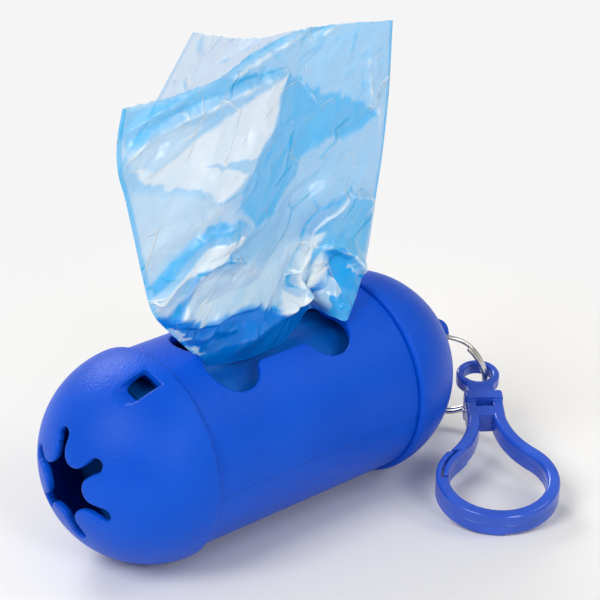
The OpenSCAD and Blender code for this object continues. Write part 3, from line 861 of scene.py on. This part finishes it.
# %% Lay a sheet between four edges
def follow(line, share):
    """Points at the given shares of a smooth curve through evenly counted points."""
    line = np.array(line, float)
    line = np.vstack([2 * line[0] - line[1], line, 2 * line[-1] - line[-2]])
    where = np.asarray(share) * (len(line) - 3)
    left = np.minimum(where.astype(int), len(line) - 4)
    t = (where - left)[:, None]
    a, b, c, d = (line[left + k] for k in range(4))
    return 0.5 * (2 * b + (c - a) * t + (2 * a - 5 * b + 4 * c - d) * t ** 2
                  + (3 * b - 3 * c + d - a) * t ** 3)


film_up, film_across, joined_share = 300, 270, 6 / 8
up = np.linspace(0, 1, film_up)
side = np.linspace(0, 1, film_across)


def lay_panel(foot, mouth, left, right, swell):
    """A sheet between four edges, rows from the slot up, that swells in its middle."""
    mouth = follow([left[-1], *mouth, right[-1]], side)
    foot = follow(foot, side)
    t, s = up[:, None, None], side[None, :, None]
    sheet = (1 - s) * left[:, None] + s * right[:, None] + (1 - t) * foot[None] + t * mouth[None]
    sheet -= ((1 - s) * (1 - t) * foot[0] + s * (1 - t) * foot[-1]
              + (1 - s) * t * mouth[0] + s * t * mouth[-1])
    return sheet + 16 * s * (1 - s) * t * (1 - t) * np.array([0, swell, 0])


print("points along a panel and across it:", film_up, film_across)

# %% Lay the two panels
front_left = follow([slot_foot[0], *left_low, *left_front], up)
back_left = follow([slot_foot[0], *left_low, *left_back], up)
joined = up <= joined_share
back_left[joined] = front_left[joined]
right_seam = follow([slot_foot[-1], *right_up], up)
front_lay = lay_panel(slot_foot, front_mouth, front_left, right_seam, -2.0)
back_lay = lay_panel(slot_foot_back, back_mouth, back_left, right_seam, 2.0)
print("front panel's mouth %.1f mm" % np.linalg.norm(np.diff(front_lay[-1], axis=0), axis=1).sum())

# %% [markdown]
# Crumpled film is made of small flat facets that meet in sharp creases. A random net of triangles,
# each corner at its own height, gives just that. The net is stretched one way, because pulled film
# creases along the pull. Coarse, middle and fine nets add up to the look of handled film.

# %% Crumple by nets of flat triangles
def crease_net(seed, along, across, lean, places):
    """Heights from -1 to 1 at flat places in mm, from a net stretched in the lean direction."""
    dice = np.random.default_rng(seed)
    c, s = math.cos(math.radians(lean)), math.sin(math.radians(lean))
    flat = places.reshape(-1, 2) @ np.array([[c, -s], [s, c]]) / (along, across)
    low, high = np.floor(flat.min(0)) - 2, np.ceil(flat.max(0)) + 2
    u, v = np.meshgrid(np.arange(low[0], high[0]), np.arange(low[1], high[1]), indexing="ij")
    corners = np.stack([u.ravel(), v.ravel()], 1) + dice.uniform(0.05, 0.95, (u.size, 2))
    height = dice.uniform(-1, 1, len(corners))
    net = delaunay_2d_cdt([Vector(p) for p in corners], [], [], 0, 1e-7)
    solid = [Vector((*co, height[ids[0]])) for co, ids in zip(net[0], net[3])]
    tree = BVHTree.FromPolygons(solid, net[2])
    found = [tree.ray_cast(Vector((a, b, 9.0)), Vector((0, 0, -1)))[0] for a, b in flat]
    return np.array([p.z if p else 0.0 for p in found]).reshape(places.shape[:2])


def smooth_step(value, low, high):
    t = np.clip((value - low) / (high - low), 0, 1)
    return t * t * (3 - 2 * t)


print("step halfway: %.2f" % smooth_step(0.5, 0, 1))

# %% [markdown]
# The large folds can't be left to chance. Each is a crease line with a height and a width on
# either side of it: a narrow side makes a steep face that throws light back, a wide side fades
# into the panel.

# %% Press the large folds
def fold_height(places, line, height, left_width, right_width):
    """Height of one fold along a line of points, from its left and its right side."""
    best = np.full(places.shape[:2], 1e9)
    result = np.zeros(places.shape[:2])
    line = np.array(line, float)
    total = np.linalg.norm(np.diff(line, axis=0), axis=1).sum()
    run = 0.0
    for start, end in zip(line[:-1], line[1:]):
        length = np.linalg.norm(end - start)
        ahead = (end - start) / length
        offset = places - start
        along = offset @ ahead
        beside = offset @ np.array([-ahead[1], ahead[0]])
        beyond = np.maximum(np.maximum(-along, along - length), 0)
        distance = np.hypot(beside, beyond)
        leftness = 0.5 + 0.5 * beside / np.maximum(distance, 1e-6)
        width = right_width + (left_width - right_width) * leftness
        place = np.clip((run + np.clip(along, 0, length)) / total, 0, 1)
        taper = np.sqrt(np.clip(4 * place * (1 - place), 0, 1)) * 0.85 + 0.15
        rise = height * taper * np.maximum(0, 1 - distance / width)
        nearer = distance < best
        best = np.where(nearer, distance, best)
        result = np.where(nearer, rise, result)
        run += length
    return result


halfway = fold_height(np.array([[[5.0, 1.0]]]), [(0, 0), (10, 0)], 1.0, 2.0, 2.0)[0, 0]
print("height halfway down a fold of height 1: %.2f" % halfway)

# %% List the folds
# each fold: its line, its height, and its width to the left and to the right, all in mm
front_folds = [
    ([(6.2, 65.8), (3.3, 62.9), (0.8, 59.3), (-3.3, 56.4), (-7.1, 54.1), (-8.1, 51.7),
      (-11.3, 49.2), (-15.3, 47.7)], 2.4, 4.5, 11.0),
    ([(6.2, 65.8), (9.4, 62.7), (11.6, 59.6), (14.1, 56.4)], 0.7, 2.0, 1.0),
    ([(-27.7, 30.0), (-24.2, 34.9), (-18.2, 40.7), (-8.9, 40.4)], 2.2, 3.0, 4.0),
    ([(-28.4, 34.4), (-23.6, 38.9), (-18.2, 42.4), (-8.8, 43.0)], 0.9, 2.0, 1.5),
    ([(-20.1, 36.6), (-14.3, 37.4), (-8.0, 34.8)], 1.2, 1.0, 3.0),
    ([(-20.3, 36.3), (-21.8, 31.4), (-21.8, 28.5), (-23.7, 26.4)], 1.2, 3.0, 1.2),
    ([(18.9, 39.4), (13.3, 37.0), (11.1, 34.7), (9.3, 30.4), (6.4, 27.8), (7.5, 24.1),
      (0.9, 21.2)], 2.8, 5.0, 1.5),
    ([(18.9, 39.4), (24.0, 37.6), (26.7, 34.6), (25.6, 30.6)], 1.8, 1.5, 5.0),
    ([(13.3, 31.4), (12.2, 27.6), (10.9, 23.1), (0.9, 21.2)], 2.4, 1.2, 3.0),
    ([(13.3, 31.4), (12.6, 27.2), (13.7, 23.7), (18.3, 19.5)], -1.2, 2.5, 2.0),
    ([(13.3, 31.4), (18.1, 28.3), (21.9, 22.9)], 1.8, 3.0, 1.0),
    ([(-23.4, 26.9), (-17.4, 24.9), (-11.8, 25.7), (-4.3, 25.5)], 1.6, 4.0, 1.2),
    ([(-14.9, 15.9), (-9.4, 19.5), (-0.6, 20.0), (11.2, 23.1)], 1.0, 2.0, 3.0),
    ([(-25.0, 26.4), (-17.8, 21.8), (-11.8, 22.3), (-4.8, 21.0)], 0.8, 1.5, 1.5),
    ([(28.3, 65.7), (26.4, 63.0), (26.3, 57.2), (28.2, 52.5), (29.5, 46.0),
      (28.8, 41.9)], 0.8, 3.0, 1.2),
    ([(-27.3, 63.0), (-33.5, 57.8)], 0.7, 0.8, 1.5),
    ([(-32.9, 63.3), (-26.3, 65.9), (-17.6, 67.0)], 0.9, 1.2, 1.2),
    ([(-32.3, 59.9), (-21.7, 63.7), (-8.4, 65.1), (0.5, 65.4)], 1.3, 2.0, 1.5),
    ([(-7.1, 54.1), (5.8, 56.6), (13.2, 57.0)], 0.5, 1.0, 2.0),
    ([(6.8, 50.9), (3.7, 45.5), (-0.9, 41.3), (-5.5, 40.4)], 0.9, 4.0, 1.2),
    ([(-10.3, 68.8), (-1.8, 70.0), (7.6, 71.3)], -0.9, 1.5, 1.0),
    ([(-9.2, 68.4), (1.6, 69.9), (12.2, 71.2)], 0.7, 1.0, 1.5),
    ([(24.1, 56.3), (28.2, 52.5)], 0.6, 3.0, 1.5),
    ([(28.2, 52.5), (23.8, 50.9), (18.3, 50.0), (14.4, 51.8), (8.2, 49.1)], 0.8, 4.0, 1.5),
    ([(-31.7, 57.0), (-29.1, 54.3), (-24.9, 52.4), (-19.6, 51.0), (-15.2, 48.1)], -0.9, 3.0, 2.0),
]
back_folds = [
    ([(-12.0, 70.0), (-6.0, 58.0), (-9.0, 44.0), (-4.0, 30.0)], 2.0, 8.0, 3.0),
    ([(18.0, 67.0), (12.0, 55.0), (14.0, 44.0), (8.0, 33.0)], 1.8, 3.0, 7.0),
    ([(-25.0, 40.0), (-14.0, 38.0), (-6.0, 41.0)], 1.4, 3.0, 1.5),
    ([(26.0, 34.0), (14.0, 33.0), (4.0, 26.0)], 1.8, 1.5, 5.0),
    ([(-22.0, 27.0), (-10.0, 26.0), (6.0, 25.0), (20.0, 27.0)], 1.3, 4.0, 1.2),
    ([(28.0, 60.0), (18.0, 58.0), (9.0, 62.0)], 0.9, 2.5, 1.5),
]
print(len(front_folds), "folds in front,", len(back_folds), "behind")


# %% Take off the sharpest steps
def ease(height, passes):
    """The heights with the sharpest steps taken off."""
    for _ in range(passes):
        for axis in (0, 1):
            count = height.shape[axis]
            first, last = height.take([0], axis), height.take([-1], axis)
            padded = np.concatenate([first, height, last], axis)
            before, after = padded.take(range(count), axis), padded.take(range(2, count + 2), axis)
            height = (before + 2 * height + after) / 4
    return height


print("a spike of 1 eased once: %.2f" % ease(np.pad([[1.0]], 2), 1).max())


# %% Crumple each panel
def crumple(lay, folds, seed, outward):
    """The panel with its folds and facets, raised along its own slope, and their height."""
    upward, across = np.gradient(lay, axis=0), np.gradient(lay, axis=1)
    slope = np.cross(across, upward)
    slope /= np.linalg.norm(slope, axis=2)[..., None]
    slope *= np.sign((slope @ np.array(outward, float)).mean())
    places = lay[..., [0, 2]]
    t, s = up[:, None], side[None, :]
    nets = [(0.8, 1, 17.0, 6.5, 47.0), (0.45, 1, 8.0, 3.0, 36.0), (0.20, 1, 3.6, 1.6, 55.0),
            (0.8, smooth_step(t, 0.30, 0.05), 11.0, 2.0, 75.0),
            (0.45, smooth_step(t, 0.80, 0.95), 12.0, 1.5, 10.0),
            (0.35, smooth_step(t, 0.24, 0.10), 4.0, 1.8, 60.0)]
    height = np.zeros(places.shape[:2])
    for number, (amount, where, along, beside, lean) in enumerate(nets):
        height += amount * where * crease_net(seed + number, along, beside, lean, places)
    for fold in folds:
        height += fold_height(places, *fold)
    edge = smooth_step(s, 0, 0.05) * smooth_step(1 - s, 0, 0.05) * smooth_step(t, 0.0, 0.08)
    height = ease(height * edge, 2)
    notches = np.random.default_rng(seed).uniform(-0.2, 0.2, 70) ** 3 * 30
    torn = np.interp(side, np.linspace(0, 1, 70), notches)
    film = lay + slope * height[..., None]
    film[..., 2] += (torn * smooth_step(s, 0, 0.02) * smooth_step(1 - s, 0, 0.02)
                     * smooth_step(t, 0.985, 1))
    return film, height


front_film, front_height = crumple(front_lay, front_folds, 11, (0, -1, 0))
back_film, back_height = crumple(back_lay, back_folds, 31, (0, 1, 0))
print("front panel moved by up to %.1f mm" % np.abs(front_height).max())

# %% [markdown]
# Both panels become one mesh. What the finish needs is kept at its points in three layers: cover
# (how much light the film stops), milk (how white stretching and creasing turn the film, and the
# painted sheen and painted highlights where light falls on it) and deep (how much of the strong
# blue of many gathered layers shows, and painted shade in hollows and on shaded flanks). They are
# laid on in patches, each an outline in millimetres with a soft border, as a painter blocks in a
# fold before its creases.

# %% Block in the patches of the front panel
# each patch: its outline, how soft its border is, and its cover, milk and deep
front_patches = [
    # painted sheen where the film faces the window softbox
    ([(-32.5, 53.0), (-25.0, 52.0), (-15.0, 48.0), (-6.5, 41.0), (-9.4, 43.3), (-17.6, 43.8),
      (-24.9, 38.8), (-28.5, 34.9), (-31.5, 44.0)], 1.5, (0.46, 0.5, 0.0)),
    # painted highlight below the crest: the softbox's reflection, painted milky white
    ([(6.2, 65.8), (1.0, 64.8), (-3.2, 63.4), (-8.6, 62.7), (-16.9, 60.5), (-22.5, 58.0),
      (-26.7, 56.4), (-31.7, 57.0), (-29.1, 54.3), (-24.9, 52.4), (-19.6, 51.0), (-15.2, 48.1),
      (-11.5, 49.8), (-7.0, 53.7), (-3.3, 56.4), (0.7, 60.1), (3.3, 62.9)], 0.5, (0.58, 1.0, 0.0)),
    # painted sheen on the paler film above it
    ([(-32.7, 60.5), (-28.3, 61.5), (-22.0, 63.0), (-17.0, 61.5), (-22.5, 58.0), (-26.7, 56.4),
      (-31.7, 57.0)], 1.0, (0.5, 0.55, 0.0)),
    # a fold across it
    ([(-17.5, 54.9), (-9.7, 54.2), (-7.0, 53.7), (-8.1, 51.4)], 0.3, (0.5, 0.2, 0.0)),
    # where the two panels cling
    ([(6.2, 65.8), (12.4, 60.8), (24.1, 56.3), (28.2, 52.5), (23.8, 50.9), (18.3, 50.0),
      (14.4, 51.8), (8.2, 49.1), (7.3, 46.2), (2.9, 44.3), (-0.9, 41.3), (-5.5, 40.4),
      (-8.1, 43.0), (-11.3, 48.2), (-7.5, 51.6), (-7.1, 54.1), (-3.3, 56.1), (0.4, 59.3),
      (2.8, 62.6)], 0.6, (0.80, 0.0, 0.08)),
    # the mouth, doubled
    ([(-32.0, 67.4), (-28.3, 67.3), (-22.4, 67.7), (-17.1, 68.0), (-11.4, 68.6), (-2.8, 67.6),
      (6.2, 65.9), (1.1, 65.6), (-8.1, 65.9), (-16.1, 65.5), (-23.3, 64.5), (-28.3, 62.5),
      (-32.7, 61.0), (-33.5, 63.6)], 0.8, (0.76, 0.05, 0.03)),
    # smooth middle, paler with painted sheen
    ([(-20.0, 36.1), (-8.1, 34.3), (0.7, 30.5), (3.6, 34.3), (10.7, 33.9), (6.4, 28.5),
      (-0.6, 24.4), (-5.1, 25.7), (-12.4, 26.1), (-17.5, 25.5), (-21.8, 28.5)],
     1.2, (0.84, 0.68, 0.0)),
    # upper side of the left roll, bluer and more opaque: partly film seen edge-on, partly painted
    # shade
    ([(-28.5, 34.9), (-24.9, 38.8), (-20.8, 42.0), (-17.6, 43.8), (-9.4, 43.3), (-8.5, 41.4),
      (-14.2, 41.9), (-18.3, 41.7), (-23.1, 38.5), (-27.3, 33.5)], 0.5, (0.75, 0.0, 0.15)),
    # painted reflection on the lower side of the left roll: white, as if it mirrored the floor
    ([(-27.4, 29.8), (-24.2, 34.9), (-18.2, 40.7), (-8.9, 40.4), (-10.7, 39.6), (-14.4, 37.9),
      (-20.1, 36.6), (-24.2, 34.9), (-27.0, 29.7)], 0.35, (0.8, 1.0, 0.0)),
    # shade under it
    ([(-20.1, 36.6), (-18.1, 37.1), (-14.2, 37.7), (-8.0, 34.8), (-14.2, 36.8), (-18.4, 36.3),
      (-20.3, 35.8)], 0.3, (0.9, 0.0, 0.3)),
    # pinched fold at the left
    ([(-20.6, 36.1), (-19.8, 35.7), (-21.6, 30.5), (-21.8, 27.9), (-23.6, 26.0), (-24.6, 28.6),
      (-22.5, 31.1)], 0.5, (0.92, 0.1, 0.4)),
    # the gathered foot
    ([(-26.9, 28.6), (-22.3, 28.2), (-17.5, 25.2), (-12.4, 25.9), (-4.3, 25.5), (0.9, 21.4),
      (7.6, 20.7), (11.5, 24.7), (11.9, 22.5), (12.3, 18.2), (9.8, 13.0), (-15.5, 13.0),
      (-19.2, 19.0), (-26.0, 25.0)], 0.8, (0.97, 0.0, 0.95)),
    # painted glints on the crinkles where it leaves the slot at the left
    ([(-25.5, 26.2), (-21.5, 24.6), (-19.4, 22.6), (-20.6, 22.0), (-24.0, 24.4)],
     0.3, (0.9, 0.8, 0.0)),
    ([(-19.8, 21.6), (-16.6, 19.4), (-15.4, 17.4), (-17.8, 18.6)], 0.3, (0.9, 0.85, 0.0)),
    # pouch at the right
    ([(11.1, 34.7), (13.7, 37.4), (18.4, 39.5), (23.7, 38.0), (26.3, 35.1), (25.1, 28.5),
      (22.2, 23.4), (17.3, 27.3), (13.3, 31.4), (11.0, 27.1), (9.9, 30.1)],
     0.6, (0.90, 0.15, 0.02)),
    # painted highlights on its folds
    ([(10.2, 33.9), (12.6, 33.8), (10.9, 30.4), (10.0, 27.2), (7.5, 24.1), (6.4, 27.5),
      (7.8, 30.4)], 0.5, (0.9, 0.85, 0.0)),
    ([(13.2, 31.4), (12.3, 27.6), (11.2, 23.1), (0.9, 21.2), (3.6, 24.6), (9.9, 22.2),
      (11.6, 27.9)], 0.35, (0.92, 1.0, 0.0)),
    # painted shade in its hollow
    ([(13.3, 31.4), (18.1, 28.3), (17.1, 26.5), (21.9, 22.9), (18.3, 19.5), (13.8, 24.1),
      (12.9, 27.7)], 0.35, (0.96, 0.0, 0.35)),
    # its lower corner
    ([(12.6, 27.0), (15.0, 24.0), (19.0, 21.0), (17.0, 17.0), (13.0, 16.5), (12.0, 19.0)],
     0.5, (0.96, 0.1, 0.3)),
]
print(len(front_patches), "patches")


# %% Find what lies inside a patch
def soft_patch(places, outline, soft):
    """1 inside an outline, 0 outside, with a soft border."""
    outline = np.array(outline, float)
    inside = np.zeros(places.shape[:2], bool)
    nearest = np.full(places.shape[:2], 1e9)
    for a, b in zip(outline, np.roll(outline, -1, axis=0)):
        straddles = (a[1] > places[..., 1]) != (b[1] > places[..., 1])
        rise = np.where(abs(b[1] - a[1]) < 1e-9, 1e-9, b[1] - a[1])
        border = (b[0] - a[0]) * (places[..., 1] - a[1]) / rise + a[0]
        inside ^= straddles & (places[..., 0] < border)
        share = np.clip(((places - a) @ (b - a)) / ((b - a) @ (b - a)), 0, 1)
        to_border = np.linalg.norm(places - a - share[..., None] * (b - a), axis=2)
        nearest = np.minimum(nearest, to_border)
    return smooth_step(np.where(inside, nearest, -nearest), -soft, soft)


corner = soft_patch(np.array([[[0.0, 0.0]]]), [(0, 0), (4, 0), (4, 4), (0, 4)], 1.0)[0, 0]
print("share on a patch's border: %.2f" % corner)


# %% Keep cover, milk and deep at each point
def lay_on(layers, amounts, share):
    """New amounts over the old ones, by the share at each point."""
    return [old * (1 - share) + new * share for old, new in zip(layers, amounts)]


def measure(lay, height, patches, plain):
    """Cover, milk and deep at each point of a panel, from patches with borders ragged by nets; the
    patches paint sheen, highlights and shade as well as doubled film.
    """
    places, high = lay[..., [0, 2]], lay[..., 2]
    layers = [np.full(height.shape, amount) for amount in plain]
    ragged = places + 0.3 * crease_net(51, 6.0, 1.2, 42.0, places)[..., None] * (-0.67, 0.74)
    ragged += 0.8 * crease_net(52, 7.0, 0.9, 42.0, places)[..., None] * (0.74, 0.67)
    # from 42 mm down to 30 mm the film turns more opaque and paler, a painted sheen
    layers = lay_on(layers, (0.87, 0.6, 0.04), smooth_step(high, 42.0, 30.0))
    if not patches:
        layers = lay_on(layers, (0.97, 0.0, 0.9), smooth_step(high, 21.0, 17.0))
    for outline, soft, amounts in patches:
        layers = lay_on(layers, amounts, soft_patch(ragged, outline, soft))
    # ridges of the relief turn whiter, partly the whitening of creased film and partly a painted
    # highlight; hollows turn bluer, a painted shade; both grow more opaque
    bend = ease(height - ease(height, 3), 1)
    cover, milk_and_sheen, deep_and_shade = layers
    milk_and_sheen = milk_and_sheen + 0.7 * smooth_step(bend, 0.02, 0.09)
    cover = cover + 0.22 * smooth_step(np.abs(bend), 0.02, 0.09)
    milk_and_sheen = milk_and_sheen - 0.5 * smooth_step(-bend, 0.02, 0.09)
    hem = 1 - smooth_step(side, 0.016, 0.022) * smooth_step(1 - side, 0.006, 0.010)
    cover, milk_and_sheen = cover + (0.3 if patches else 0.1) * hem, milk_and_sheen * (1 - 0.5 * hem)
    return {"cover": np.clip(cover, 0, 0.98), "milk_and_sheen": np.clip(milk_and_sheen, 0, 1),
            "deep_and_shade": np.clip(deep_and_shade, 0, 1)}


film_values = [measure(front_lay, front_height, front_patches, (0.52, 0.12, 0.0)),
               measure(back_lay, back_height, [], (0.38, 0.22, 0.0))]
print("mean cover of the front panel: %.2f" % film_values[0]["cover"].mean())

# %% Build the film
film_points = np.concatenate([front_film.reshape(-1, 3), back_film.reshape(-1, 3)])
quads = (np.arange(film_up - 1)[:, None, None] * film_across
         + np.arange(film_across - 1)[None, :, None]
         + np.array([0, 1, film_across + 1, film_across])).reshape(-1, 4)
film_faces = np.concatenate([quads[:, ::-1], quads + film_up * film_across])
print("film points:", len(film_points))

# %% [markdown]
# ## Thin translucent film
# The film lets much light through, tints what lies behind it, and is glossy on both sides. Alpha
# does the tint: one layer is pale, two are clearly blue, and the gathered foot is deep blue. The
# kept layers steer alpha and colour, and bring the painted sheen, highlights and shade of the
# patches with them. Noise that runs along the pull keeps the patches from looking painted, and
# thin straight lines are creases: bluer where pressed, whiter where worn.

# %% Mix the film's finish
film_finish = Finish("thin_blue_film")


def kept(name):
    return film_finish.node("ShaderNodeAttribute", {"attribute_name": name}, out="Fac")


def crease_lines(scale, lean, length, width):
    """1 on the thin straight borders between long cells, 0 inside them."""
    border = film_finish.node("ShaderNodeTexVoronoi", {"feature": "DISTANCE_TO_EDGE"}, {
        "Vector": film_finish.stretched((0, -lean, 0), (length, 1.0, 1.0)), "Scale": scale})
    return 1 - border.between(0.0, width)


drift = film_finish.noise(110.0, 4.0, 0.6)
along_pull = film_finish.stretched((0, -42, 0), (5.0, 1.0, 1.0))
streaks = film_finish.noise(420.0, 3.0, 0.6, place=along_pull)
pulled = film_finish.noise(230.0, 3.0, 0.6, place=along_pull)
pressed = crease_lines(120.0, 34.0, 4.0, 0.035) * pulled.between(0.50, 0.62)
worn = crease_lines(170.0, 52.0, 3.0, 0.03) * drift.between(0.5, 0.6)
# whiteness mixes the colour towards white: milky creased film, and with it the painted sheen and
# highlights kept in milk
whiteness_and_sheen = (kept("milk_and_sheen") + 0.9 * (pulled - 0.5) * kept("milk_and_sheen") + 0.25 * (drift - 0.5)
             + 0.5 * worn - 0.2 * pressed)
film_colour = film_finish.mix(whiteness_and_sheen, srgb(0, 180, 243), srgb(230, 243, 250))
film_colour = film_finish.mix(kept("deep_and_shade"), film_colour, srgb(0, 122, 224))
cover = film_finish.node("ShaderNodeClamp", None, {
    "Value": kept("cover") + 0.2 * (drift - 0.5) + 0.18 * pressed + 0.2 * worn, "Max": 0.985})
film_relief = film_finish.bump(streaks, 0.0003, 0.7)
film_relief = film_finish.bump(pressed + worn, 0.00025, 0.8, under=film_relief)
gloss = 0.45 + 0.5 * kept("milk_and_sheen") - 0.35 * kept("deep_and_shade")
bag_film = film_finish.surface({
    "Base Color": film_colour, "Roughness": 0.16 + 0.12 * drift, "Alpha": cover, "IOR": 1.45,
    "Specular IOR Level": 0.25, "Coat Weight": gloss, "Coat Roughness": 0.22, "Coat IOR": 1.6,
    "Normal": film_relief})
print("film finish:", bag_film.name)

# %% [markdown]
# The two panels share their seams, so their doubled points are merged there. The piece has no
# body of its own.

# %% Hand the film over
bag = make_piece("pulled_bag_film", to_frame(film_points), film_faces, bag_film, "bag")
for name in ("cover", "milk_and_sheen", "deep_and_shade"):
    layer = bag.data.attributes.new(name, "FLOAT", "POINT")
    values = np.concatenate([panel[name].ravel() for panel in film_values])
    layer.data.foreach_set("value", values.astype(np.float32))
seams = bmesh.new()
seams.from_mesh(bag.data)
bmesh.ops.remove_doubles(seams, verts=seams.verts, dist=2e-6)
seams.to_mesh(bag.data)
seams.free()
bag.parent = None
film_area = sum(face.area for face in bag.data.polygons)
print("film area %.1f cm2" % (film_area * 1e4))
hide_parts("pulled_bag")
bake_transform(bag)
